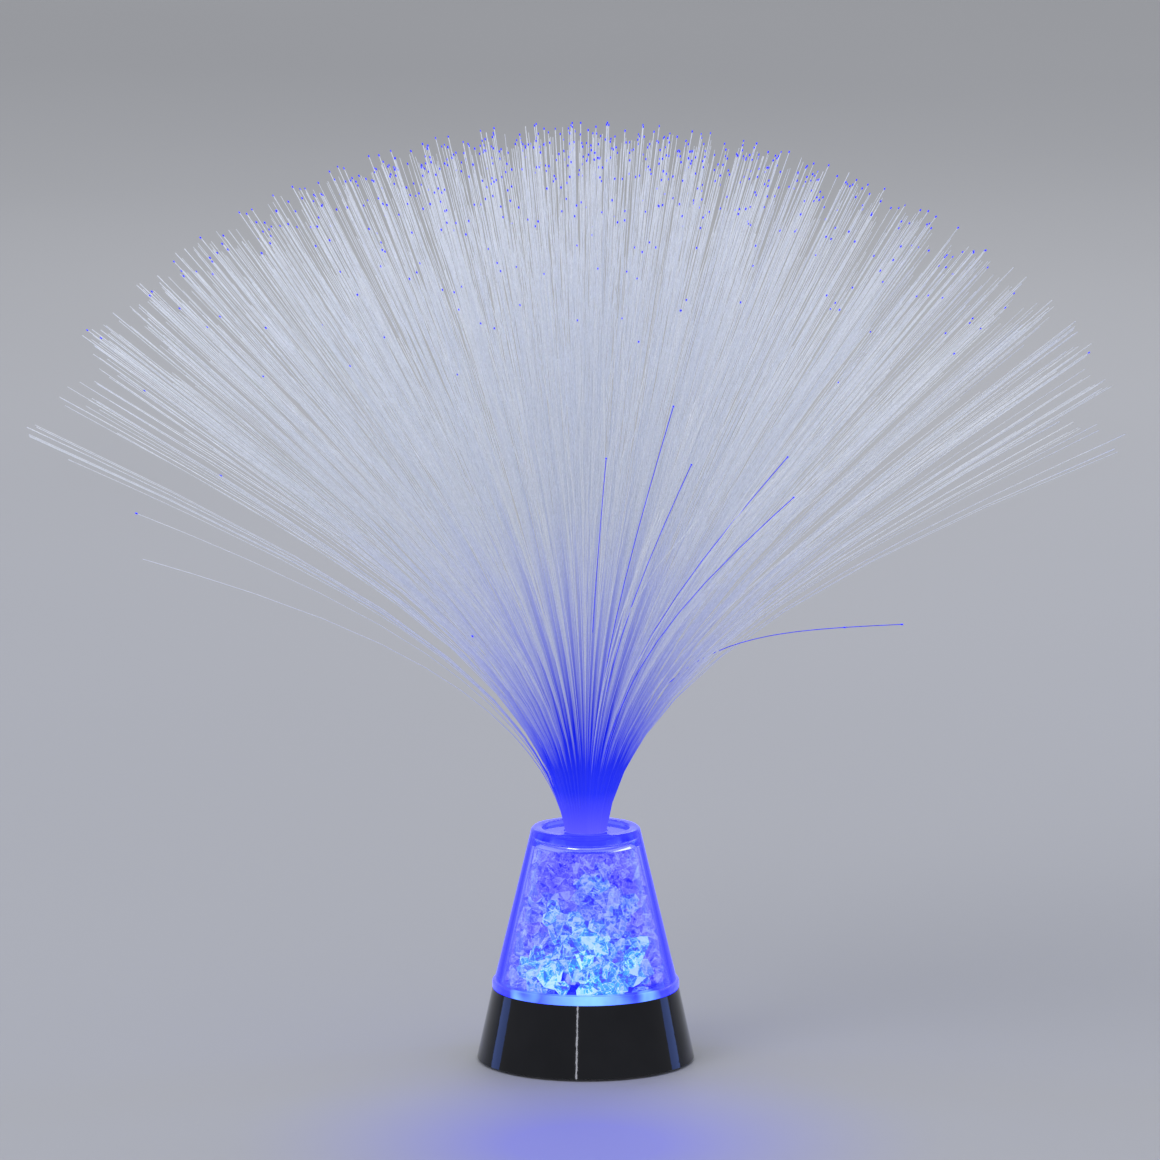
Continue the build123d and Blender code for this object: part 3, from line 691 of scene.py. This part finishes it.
@dataclass
class Tubes:
    """Many thin tubes gathered in one mesh, each with the same number of sides."""

    sides: int
    verts: list[Vector] = field(default_factory=list)
    faces: list[tuple[int, ...]] = field(default_factory=list)

    def add(self, line: list[Vector], side: Vector, radii: list[float]) -> None:
        """Add one tube.

        Args:
            line: Points of its centre line.
            side: A direction across the plane that the line lies in.
            radii: Radius at each point.
        """
        start = len(self.verts)
        for index, point in enumerate(line):
            run = (line[min(index + 1, len(line) - 1)] - line[max(index - 1, 0)]).normalized()
            across = run.cross(side).normalized()
            for corner in range(self.sides):
                turn = 2 * math.pi * corner / self.sides
                spoke = side * math.cos(turn) + across * math.sin(turn)
                self.verts.append(point + spoke * radii[index])
        for ring in range(len(line) - 1):
            base = start + ring * self.sides
            above = base + self.sides
            for corner in range(self.sides):
                beside = (corner + 1) % self.sides
                self.faces.append((base + corner, base + beside, above + beside, above + corner))
        last = start + (len(line) - 1) * self.sides
        self.faces.append(tuple(start + corner for corner in reversed(range(self.sides))))
        self.faces.append(tuple(last + corner for corner in range(self.sides)))

    def piece(self, name: str, material: Material) -> bpy.types.Object:
        """Return the gathered tubes as one piece."""
        return new_piece(name, self.verts, self.faces, material)


# Sub-assemblies


@dataclass
class Cone:
    """The clear cone that stands on the base and takes the cap in its mouth."""

    base_top_radius: float = 0.0342958
    base_height: float = 0.027
    flange_thickness: float = 0.0031
    cone_foot_radius: float = 0.0334958
    cone_top_radius: float = 0.01975
    cone_height: float = 0.060
    wall: float = 0.0026
    bore: float = 0.0310958
    mouth_radius: float = 0.0159
    mouth_recess: float = 0.0015
    cap_thickness: float = 0.0031
    ledge: float = 0.0012
    collar_depth: float = 0.002
    foot_round: float = 0.0005
    flange_round: float = 0.00065
    root_step: float = 0.0001
    root_round: float = 0.0002
    rim_round: float = 0.0014
    mouth_round: float = 0.0009
    collar_round: float = 0.0004
    inner_round: float = 0.0003

    def build(self) -> bpy.types.Object:
        """Build the clear cone over its node.

        Returns:
            The cone.
        """
        top = self.base_height + self.cone_height
        flange_top = self.base_height + self.flange_thickness
        slope = (self.cone_foot_radius - self.cone_top_radius) / (top - flange_top)
        cap_under = top - self.mouth_recess - self.cap_thickness
        collar_foot = cap_under - self.collar_depth
        inside = self.cone_foot_radius - slope * (collar_foot - flange_top) - self.wall
        bore_top = flange_top + (self.cone_foot_radius - self.wall - self.bore) / slope
        outline = rounded(
            [
                (self.bore, self.base_height, 0),
                (self.base_top_radius, self.base_height, self.foot_round),
                (self.base_top_radius, flange_top, self.flange_round),
                (self.cone_foot_radius - self.root_step, flange_top, self.root_round),
                (self.cone_top_radius, top, self.rim_round),
                (self.mouth_radius, top, self.mouth_round),
                (self.mouth_radius, cap_under, 0),
                (self.mouth_radius - self.ledge, cap_under, self.inner_round),
                (inside, collar_foot, self.collar_round),
                (self.bore, bore_top, self.inner_round),
            ]
        )
        finish = LitAcrylic("lit_cone_acrylic")
        cone = lathe("cone_moulding", outline, finish.material())
        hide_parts("clear_cone")
        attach(cone, ROOT)
        return cone


@dataclass
class Crystals:
    """Crushed-ice chips between the sleeve and the wall of the cone."""

    floor_z: float = 0.0287
    top_z: float = 0.0802
    foot_radius: float = 0.0306
    top_radius: float = 0.0184
    sleeve_radius: float = 0.0095
    count: int = 600
    small: float = 0.0023
    large: float = 0.0064
    wall_overlap: float = 0.55
    crowding: float = 2.4
    deepest: float = 0.9
    turn_jitter: float = 0.4
    corner_count: int = 18
    corner_reach: tuple[float, float] = (0.8, 1.1)
    tone_power: float = 1.2
    shine_reach: float = 1.75
    least_shine: float = 0.7
    shine_swing: float = 0.9
    chance: Random = field(default_factory=lambda: Random(7))
    # Painted lit spots where the lamps shine through: middle, reach and strength of each
    hot_spots: tuple[tuple[Point, float, float], ...] = (
        ((0.001, -0.026, 0.042), 0.011, 1.0),
        ((-0.0195, -0.020, 0.0385), 0.0075, 0.9),
        ((0.0155, -0.022, 0.0385), 0.0085, 0.9),
        ((-0.009, -0.026, 0.0325), 0.009, 1.0),
        ((0.005, -0.027, 0.0310), 0.009, 1.0),
        ((-0.012, -0.016, 0.058), 0.005, 0.55),
        ((0.004, -0.018, 0.066), 0.005, 0.5),
        ((0.014, -0.017, 0.060), 0.005, 0.45),
        ((-0.005, -0.018, 0.052), 0.006, 0.6),
        ((0.020, 0.012, 0.040), 0.010, 0.9),
        ((-0.018, 0.016, 0.038), 0.010, 0.9),
        ((0.0, 0.024, 0.044), 0.010, 0.9),
    )

    def wall_radius(self, height: float) -> float:
        """Return the room for a chip's outer side at a height."""
        share = (height - self.floor_z) / (self.top_z - self.floor_z)
        return self.foot_radius + (self.top_radius - self.foot_radius) * share

    def painted_shine(self, point: Vector) -> float:
        """Tell how strongly a lamp shines through a chip, as painted glow.

        Args:
            point: Middle of the chip.

        Returns:
            The heat, from 0 to 1.
        """
        most = 0.0
        for spot, reach, strength in self.hot_spots:
            near = 1 - (point - Vector(spot)).length / (self.shine_reach * reach)
            most = max(most, strength * max(0.0, near))
        return min(1.0, most * (self.least_shine + self.shine_swing * self.chance.random()))

    def corners(self, middle: Vector, size: float) -> list[Vector]:
        """Scatter the corners of a chip round its middle, inside the wall, the floor and the cap.

        Args:
            middle: Middle of the chip.
            size: Its radius.

        Returns:
            The corners.
        """
        points = []
        for _ in range(self.corner_count):
            arrow = Vector([self.chance.gauss(0, 1) for _ in range(3)]).normalized()
            point = middle + arrow * size * self.chance.uniform(*self.corner_reach)
            limit = self.wall_radius(point.z)
            flat = math.hypot(point.x, point.y)
            if flat > limit:
                point.x *= limit / flat
                point.y *= limit / flat
            point.z = min(max(point.z, self.floor_z), self.top_z)
            points.append(point)
        return points

    def build(self) -> bpy.types.Object:
        """Build all the chips as one faceted piece.

        Returns:
            The piece.
        """
        chance = self.chance
        shape = bmesh.new()
        shine = shape.loops.layers.float_color.new("shine")
        rise = self.top_z - self.floor_z
        for number in range(self.count):
            height = self.floor_z + rise * (number + chance.random()) / self.count
            wall = self.wall_radius(height)
            size = self.small + (self.large - self.small) * chance.random() ** 2
            inner, outer = self.sleeve_radius + size, wall - size * self.wall_overlap
            share = 1 - chance.random() ** self.crowding * self.deepest
            radius = inner + (outer - inner) * share
            turn = number * GOLDEN_ANGLE + chance.uniform(-self.turn_jitter, self.turn_jitter)
            middle = Vector((radius * math.cos(turn), radius * math.sin(turn), height))
            points = [shape.verts.new(corner) for corner in self.corners(middle, size)]
            made = bmesh.ops.convex_hull(shape, input=points, use_existing_faces=False)
            loose = dict.fromkeys(made["geom_interior"] + made["geom_unused"])
            spare = [item for item in loose if isinstance(item, bmesh.types.BMVert)]
            bmesh.ops.delete(shape, geom=spare, context="VERTS")
            # Painted shine of this chip, kept in its faces' colour layer
            chip_painted_shine = self.painted_shine(middle)
            for item in made["geom"]:
                if isinstance(item, bmesh.types.BMFace) and item.is_valid:
                    tone = chance.random() ** self.tone_power
                    for loop in item.loops:
                        loop[shine] = (tone, chip_painted_shine, 0.0, 1.0)
        bmesh.ops.recalc_face_normals(shape, faces=shape.faces)
        mesh = bpy.data.meshes.new("crystal_mosaic")
        shape.to_mesh(mesh)
        shape.free()
        mesh.materials.append(CrystalFinish("lit_crystal_chips").material())
        piece = bpy.data.objects.new("crystal_mosaic", mesh)
        bpy.context.scene.collection.objects.link(piece)
        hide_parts("crystal_chips")
        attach(piece, ROOT)
        return piece


@dataclass
class Spray:
    """The fan of optical fibres, with its glowing tips and a few fibres lit along their length."""

    neck_z: float = 0.086
    root_depth: float = 0.0005
    bundle_radius: float = 0.0079
    edge_share: float = 0.95
    length: float = 0.259
    spread_degrees: float = 59.0
    tilt_power: float = 1.3
    start_tilt_share: float = 0.14
    loose_share: float = 0.26
    jitter: float = 0.05
    main_count: int = 300
    main_loose: int = 24
    main_seed: int = 300
    main_radius: float = 0.00020
    stray_number: int = 288
    follower_count: int = 5
    edge_thinning: float = 0.5
    chance: Random = field(default_factory=lambda: Random(5))
    follower_radius: float = 0.00013
    follower_degrees: float = 1.3
    follower_drift: float = 0.0055
    widest_drift: float = 0.012
    follower_place: float = 0.035
    follower_trim: float = 0.008
    least_across: float = 0.03
    across_share: float = 0.8
    clump_trim: tuple[float, float] = (0.975, 1.0)
    haze_count: int = 380
    haze_trim: tuple[float, float] = (0.93, 0.99)
    tip_radius: float = 0.00026
    tip_swing: tuple[float, float] = (0.7, 1.15)
    tip_profile: Profile = field(
        default_factory=lambda: [(-0.0006, 0.6), (-0.0002, 1.0), (0.0001, 1.0), (0.0003, 0.4)]
    )
    dot_share: float = 1.25
    dot_profile: Profile = field(
        default_factory=lambda: [(-0.0006, 0.8), (0.0, 1.0), (0.0004, 0.4)]
    )
    tip_shares: tuple[tuple[float, float], ...] = ((0.320, 0.62), (0.285, 0.24), (-1.0, 0.035))
    main_tip_z: float = 0.300
    main_tip_share: float = 0.95
    lit_radius: float = 0.00016
    drooping: tuple[tuple[float, float, float, bool], ...] = (
        (181.0, 70.0, 0.203, True),
        (176.0, 60.0, 0.186, True),
        (177.0, 77.0, 0.192, False),
        (188.0, 66.0, 0.237, False),
        (-130.0, 60.0, 0.100, True),
    )
    stray: tuple[tuple[float, float, float], ...] = ((88.0, 0.150, 1.0), (88.0, 0.129, 0.0))
    lit_front: tuple[tuple[float, float, float, float], ...] = (
        (-80.0, 53.0, 0.250, 0.55),
        (-79.0, 60.0, 0.250, 0.5),
        (-70.0, 61.0, 0.262, 0.65),
        (-70.0, 65.0, 0.259, 0.65),
        (-88.0, 60.0, 0.257, 0.35),
    )
    main_stations: tuple[float, ...] = (
        (0.0, 0.015, 0.035, 0.06, 0.09, 0.125, 0.165, 0.21)
        + (0.27, 0.34, 0.42, 0.52, 0.64, 0.78, 0.9, 1.0)
    )
    follower_stations: tuple[float, ...] = (
        (0.0, 0.04, 0.09, 0.15, 0.22) + (0.31, 0.43, 0.58, 0.78, 1.0)
    )
    stray_stations: int = 30
    steps: int = 200
    body: Tubes = field(default_factory=lambda: Tubes(3))
    tips: Tubes = field(default_factory=lambda: Tubes(6))
    lit: Tubes = field(default_factory=lambda: Tubes(5))

    def line(
        self,
        place: float,
        azimuth: float,
        tilt: float,
        length: float,
        shares: tuple[float, ...],
        fall: Fall = Fall.FAN,
        sway: float = 0.0,
    ) -> list[Vector]:
        """Trace the centre line of a fibre.

        Args:
            place: Its place in the bundle, from 0 at the middle to 1 at the edge.
            azimuth: Direction that it leans to.
            tilt: Lean at its tip.
            length: Its free length.
            shares: Where along it the points lie.
            fall: Whether it belongs to the fan or is the long stray.
            sway: Slow sideways drift of the azimuth along its length.

        Returns:
            Points from the neck to the tip.
        """
        power, spread = fall.value
        out, up = place * self.bundle_radius * self.edge_share, self.neck_z
        points = [Vector((out * math.cos(azimuth), out * math.sin(azimuth), up - self.root_depth))]
        marks = [share * length for share in shares[1:]]
        step = length / self.steps
        for index in range(self.steps):
            travelled = (index + 0.5) * step
            bent = 1 - math.exp(-((travelled / spread) ** power))
            lean = tilt * (self.start_tilt_share + (1 - self.start_tilt_share) * bent)
            out += step * math.sin(lean)
            up += step * math.cos(lean)
            if marks and (index + 1) * step >= marks[0] - step / 1000:
                marks.pop(0)
                turn = azimuth + sway * (travelled / length) ** 2
                points.append(Vector((out * math.cos(turn), out * math.sin(turn), up)))
        return points

    def build(self) -> list[bpy.types.Object]:
        """Build the fan, its tips and the lit fibres.

        Returns:
            The three pieces.
        """
        chance = self.chance
        for number, (place, azimuth, tilt) in enumerate(self.main_leans()):
            if number != self.stray_number:
                points = self.line(place, azimuth, tilt, self.length, self.main_stations)
                self.add_fibre(points, azimuth, self.main_radius)
            reach = self.length * chance.uniform(*self.clump_trim)
            sparse = chance.random() <= place**3 * self.edge_thinning
            for _ in range(self.follower_count // 2 if sparse else self.follower_count):
                self.add_follower(place, azimuth, tilt, reach)
        for number in range(self.haze_count):
            place = math.sqrt((number + 0.5) / self.haze_count)
            azimuth = (number + 0.5) * GOLDEN_ANGLE % (2 * math.pi)
            tilt = math.radians(self.spread_degrees) * place**self.tilt_power
            tilt *= 1 + chance.uniform(-self.jitter, self.jitter)
            reach = self.length * chance.uniform(*self.haze_trim)
            self.add_follower(place, azimuth, tilt, reach)
        self.add_drooping()
        self.add_lit()
        fibre = FibreFinish("side_lit_fibre", self.neck_z)
        tip = Glow("tip_glow", (0.01, 0.015, 1.0), 1.3)
        lit_fibre = Glow("fibre_glow", (0.01, 0.015, 0.85), 0.8)
        fan = self.body.piece("fibre_fan", fibre.material())
        dots = self.tips.piece("fibre_tips", tip.material())
        glowing = self.lit.piece("lit_fibres", lit_fibre.material())
        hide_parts("fibre_spray")
        for piece in (fan, dots, glowing):
            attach(piece, ROOT)
        return [fan, dots, glowing]

    def main_leans(self) -> list[tuple[float, float, float]]:
        """Work out the leans of the strands that the solid model also has.

        Returns:
            Place, azimuth and tilt of each.
        """
        chance = Random(self.main_seed)
        leans = []
        for number in range(self.main_count):
            place = math.sqrt((number + 0.5) / self.main_count)
            jitter = 1 + chance.uniform(-self.jitter, self.jitter)
            if number >= self.main_count - self.main_loose:
                jitter += chance.random() ** 2 * self.loose_share
            tilt = math.radians(self.spread_degrees) * place**self.tilt_power * jitter
            leans.append((place, number * GOLDEN_ANGLE, tilt))
        return leans

    def add_follower(self, place: float, azimuth: float, tilt: float, reach: float) -> None:
        """Add a finer fibre that keeps close to one strand of the fan.

        Args:
            place: The strand's place in the bundle.
            azimuth: The strand's direction.
            tilt: The strand's lean.
            reach: Length of the clump that both belong to.
        """
        chance = self.chance
        widest = math.radians(self.follower_degrees)
        lean = tilt + min(max(chance.gauss(0, widest), -2 * widest), widest / 2)
        drift = chance.gauss(0, self.follower_drift)
        drift = min(max(drift, -self.widest_drift), self.widest_drift)
        across = max(self.least_across, self.length * math.sin(tilt) * self.across_share)
        near = min(1.0, max(0.0, place + chance.gauss(0, self.follower_place)))
        length = reach * (1 - abs(chance.gauss(0, self.follower_trim)))
        sway = drift / across
        points = self.line(near, azimuth, lean, length, self.follower_stations, sway=sway)
        self.add_fibre(points, azimuth, self.follower_radius)

    def add_fibre(self, points: list[Vector], azimuth: float, radius: float) -> None:
        """Add a fibre and, at most of the high ends, its glowing tip.

        Args:
            points: Its centre line.
            azimuth: Direction that it leans to.
            radius: Its radius.
        """
        side = sideways(azimuth)
        self.body.add(points, side, [radius] * len(points))
        end = points[-1]
        share = next(part for height, part in self.tip_shares if end.z > height)
        if radius == self.main_radius and end.z > self.main_tip_z:
            share = self.main_tip_share
        if self.chance.random() <= share:
            size = self.tip_radius * self.chance.uniform(*self.tip_swing)
            self.add_tip(points, side, size, self.tip_profile)

    def add_tip(self, points: list[Vector], side: Vector, size: float, profile: Profile) -> None:
        """Add a glowing dot at the end of a fibre.

        Args:
            points: The fibre's centre line.
            side: A direction across the plane that it lies in.
            size: Radius of the dot.
            profile: Places along the dot from the fibre's end, with shares of its radius.
        """
        end = points[-1]
        run = (end - points[-2]).normalized()
        line = [end + run * along for along, _ in profile]
        self.tips.add(line, side, [size * share for _, share in profile])

    def add_drooping(self) -> None:
        """Add the loose fibres that hang at the left of the fan, and a short one in its front."""
        for degrees, tilt, length, shines in self.drooping:
            azimuth = math.radians(degrees)
            points = self.line(1.0, azimuth, math.radians(tilt), length, self.main_stations)
            side = sideways(azimuth)
            self.body.add(points, side, [self.follower_radius] * len(points))
            if shines:
                self.add_tip(points, side, self.tip_radius * self.dot_share, self.dot_profile)

    def add_lit(self) -> None:
        """Add the fibres that glow along their whole length, the long stray among them."""
        stations = self.stray_stations
        fine = tuple(index / stations for index in range(stations + 1))
        place = math.sqrt((self.stray_number + 0.5) / self.main_count)
        turn = math.degrees(self.stray_number * GOLDEN_ANGLE)
        rows = [(place, Fall.STRAY, fine, turn, *row) for row in self.stray]
        rows += [(1.0, Fall.FAN, self.main_stations, *row) for row in self.lit_front]
        for place, fall, shares, degrees, tilt, length, visible in rows:
            azimuth = math.radians(degrees)
            points = self.line(place, azimuth, math.radians(tilt), length, shares, fall)
            side = sideways(azimuth)
            if visible > 0.0:
                shown = points[int(len(points) * (1 - visible)) :]
                self.lit.add(shown, side, [self.lit_radius] * len(shown))
            self.add_tip(points, side, self.tip_radius * self.dot_share, self.dot_profile)


@dataclass(frozen=True)
class Coat:
    """A finish and the CAD nodes that wear it."""

    finish: Moulded | MirrorMetal | LitAcrylic | Glow
    wearers: tuple[str, ...]

    def dress(self, nodes: dict[str, bpy.types.Object]) -> None:
        """Put the finish in the slots of its nodes.

        Args:
            nodes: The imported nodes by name.
        """
        material = self.finish.material()
        for name in self.wearers:
            mesh = nodes[name].data
            if not mesh.materials:
                mesh.materials.append(material)
            for index in range(len(mesh.materials)):
                mesh.materials[index] = material
            log.info("dressed %s with %s", name, self.finish.name)


COATS = (
    Coat(MirrorMetal("plated_base", (0.024, 0.0245, 0.028)), ("chrome_base_shell",)),
    Coat(
        Moulded("black_plastic_grain", (0.012, 0.012, 0.014), (0.022, 0.022, 0.024), 0.42),
        ("base_plate", "battery_door", "switch_slider", "colour_controller"),
    ),
    Coat(
        Moulded(
            "zinc_plate", (0.42, 0.42, 0.44), (0.58, 0.58, 0.6), 0.32, 1.0, 400.0, 4200.0, FINE
        ),
        ("door_screw", "plate_screws", "board_screws"),
    ),
    Coat(
        Moulded("foot_rubber_matte", (0.02,) * 3, (0.035,) * 3, 0.85, 0.0, 220.0, 3000.0),
        ("rubber_feet",),
    ),
    Coat(
        Moulded(
            "cell_film", (0.30, 0.32, 0.35), (0.42, 0.44, 0.47), 0.3, 0.2, 60.0, 900.0, FINE
        ),
        ("battery_cell_front", "battery_cell_middle", "battery_cell_back"),
    ),
    Coat(
        Moulded(
            "nickel_strip", (0.62, 0.6, 0.56), (0.75, 0.73, 0.7), 0.28, 1.0, 300.0, 3800.0, FINE
        ),
        ("output_contact_plus", "output_contact_minus", "bridge_contact_left")
        + ("bridge_contact_right", "spring_leaves", "switch_housing", "switch_terminals"),
    ),
    Coat(
        Moulded(
            "solder_mask_green", (0.01, 0.10, 0.04), (0.02, 0.16, 0.07), 0.3, 0.0, 500.0, 1200.0
        ),
        ("light_board",),
    ),
    Coat(
        Moulded("resistor_body", (0.03,) * 3, (0.06,) * 3, 0.45, 0.0, 900.0, 3000.0),
        ("resistors",),
    ),
    Coat(
        Moulded(
            "red_insulation", (0.40, 0.015, 0.01), (0.5, 0.02, 0.015), 0.4, 0.0, 300.0, 2000.0
        ),
        ("wire_battery_to_switch", "wire_switch_to_board"),
    ),
    Coat(
        Moulded("black_insulation", (0.012,) * 3, (0.02,) * 3, 0.4, 0.0, 300.0, 2000.0),
        ("wire_battery_to_board",),
    ),
    Coat(
        Glow("lamp_window", (0.15, 0.35, 1.0), 1.0, (0.5, 0.5, 0.55)),
        ("centre_lamp", "ring_lamps"),
    ),
    Coat(
        LitAcrylic("lit_inner_acrylic", band_top=0.02, wall_strength=0.5),
        ("top_cap", "crystal_floor", "fibre_sleeve"),
    ),
    Coat(Glow("bundle_glow", (0.14, 0.15, 0.95), 0.8, (0.05, 0.06, 0.5)), ("fibre_bundle",)),
)


@dataclass(frozen=True)
class Light:
    """A soft panel of light: where it stands, its width and height, its watts and its colour."""

    name: str
    place: Point
    size: tuple[float, float]
    power: float
    colour: Colour = (1.0, 1.0, 1.0)


@dataclass
class Studio:
    """Floor, lights and camera."""

    floor_size: float = 60.0
    floor_colour: Colour = (0.42, 0.425, 0.44)
    world_colour: Colour = (0.66, 0.67, 0.70)
    aim: Vector = Vector((-0.0021, 0.0, 0.1786))
    camera_distance: float = 3.0
    camera_pitch: float = 9.4
    lens: float = 255.0
    sensor_width: float = 36.0
    clip_end: float = 100.0
    lights: tuple[Light, ...] = (
        Light("key_light", (-1.6, -1.6, 2.4), (1.4, 1.4), 22.0),
        Light("back_light", (0.3, 2.2, 1.8), (1.5, 1.5), 12.0),
        Light("strip_light", (-0.43, -2.46, 0.70), (0.07, 0.6), 2.2),
        Light("left_panel", (-2.0, 0.75, 0.55), (0.6, 1.4), 8.0, (0.12, 0.28, 1.0)),
        Light("right_panel", (2.0, 0.75, 0.55), (0.6, 1.4), 8.0, (0.12, 0.28, 1.0)),
    )

    def build(self) -> None:
        """Build the studio round the lamp."""
        half = self.floor_size / 2
        corners = [(-half, -half, 0.0), (half, -half, 0.0), (half, half, 0.0), (-half, half, 0.0)]
        paper = StudioFloor("floor_paper", self.floor_colour)
        floor = new_piece("studio_floor", corners, [(0, 1, 2, 3)], paper.material())
        world = bpy.data.worlds.new("studio_world")
        world.use_nodes = True
        sky = world.node_tree.nodes["Background"]
        sky.inputs["Color"].default_value = (*self.world_colour, 1.0)
        sky.inputs["Strength"].default_value = 1.0
        bpy.context.scene.world = world
        for light in self.lights:
            self.add_light(light)
        self.add_camera()
        bpy.context.scene.view_settings.view_transform = "Standard"

    def add_light(self, light: Light) -> None:
        """Add a soft light that faces the lamp.

        Args:
            light: Its name, place, size, power and colour.
        """
        data = bpy.data.lights.new(light.name, "AREA")
        data.shape = "RECTANGLE"
        data.size, data.size_y = light.size
        data.energy = light.power
        data.color = light.colour
        panel = bpy.data.objects.new(light.name, data)
        panel.location = light.place
        panel.rotation_euler = (self.aim - Vector(light.place)).to_track_quat("-Z", "Y").to_euler()
        bpy.context.scene.collection.objects.link(panel)

    def add_camera(self) -> None:
        """Add the camera at the photograph's angle."""
        data = bpy.data.cameras.new("camera")
        data.sensor_width = self.sensor_width
        data.lens = self.lens
        data.clip_end = self.clip_end
        camera = bpy.data.objects.new("camera", data)
        pitch = math.radians(self.camera_pitch)
        offset = Vector((0.0, -math.cos(pitch), math.sin(pitch))) * self.camera_distance
        camera.location = self.aim + offset
        camera.rotation_euler = (-offset).to_track_quat("-Z", "Y").to_euler()
        bpy.context.scene.collection.objects.link(camera)
        bpy.context.scene.camera = camera


def main() -> None:
    """Build the looks of the lamp in order."""
    logging.basicConfig(level=logging.INFO, format="%(message)s")
    for coat in COATS:
        coat.dress(frame["nodes"])
    log.info("cone: %s", Cone().build().name)
    log.info("chips: %s", Crystals().build().name)
    for piece in Spray().build():
        log.info("spray: %s with %d faces", piece.name, len(piece.data.polygons))
    Studio().build()


if __name__ == "__main__":
    main()
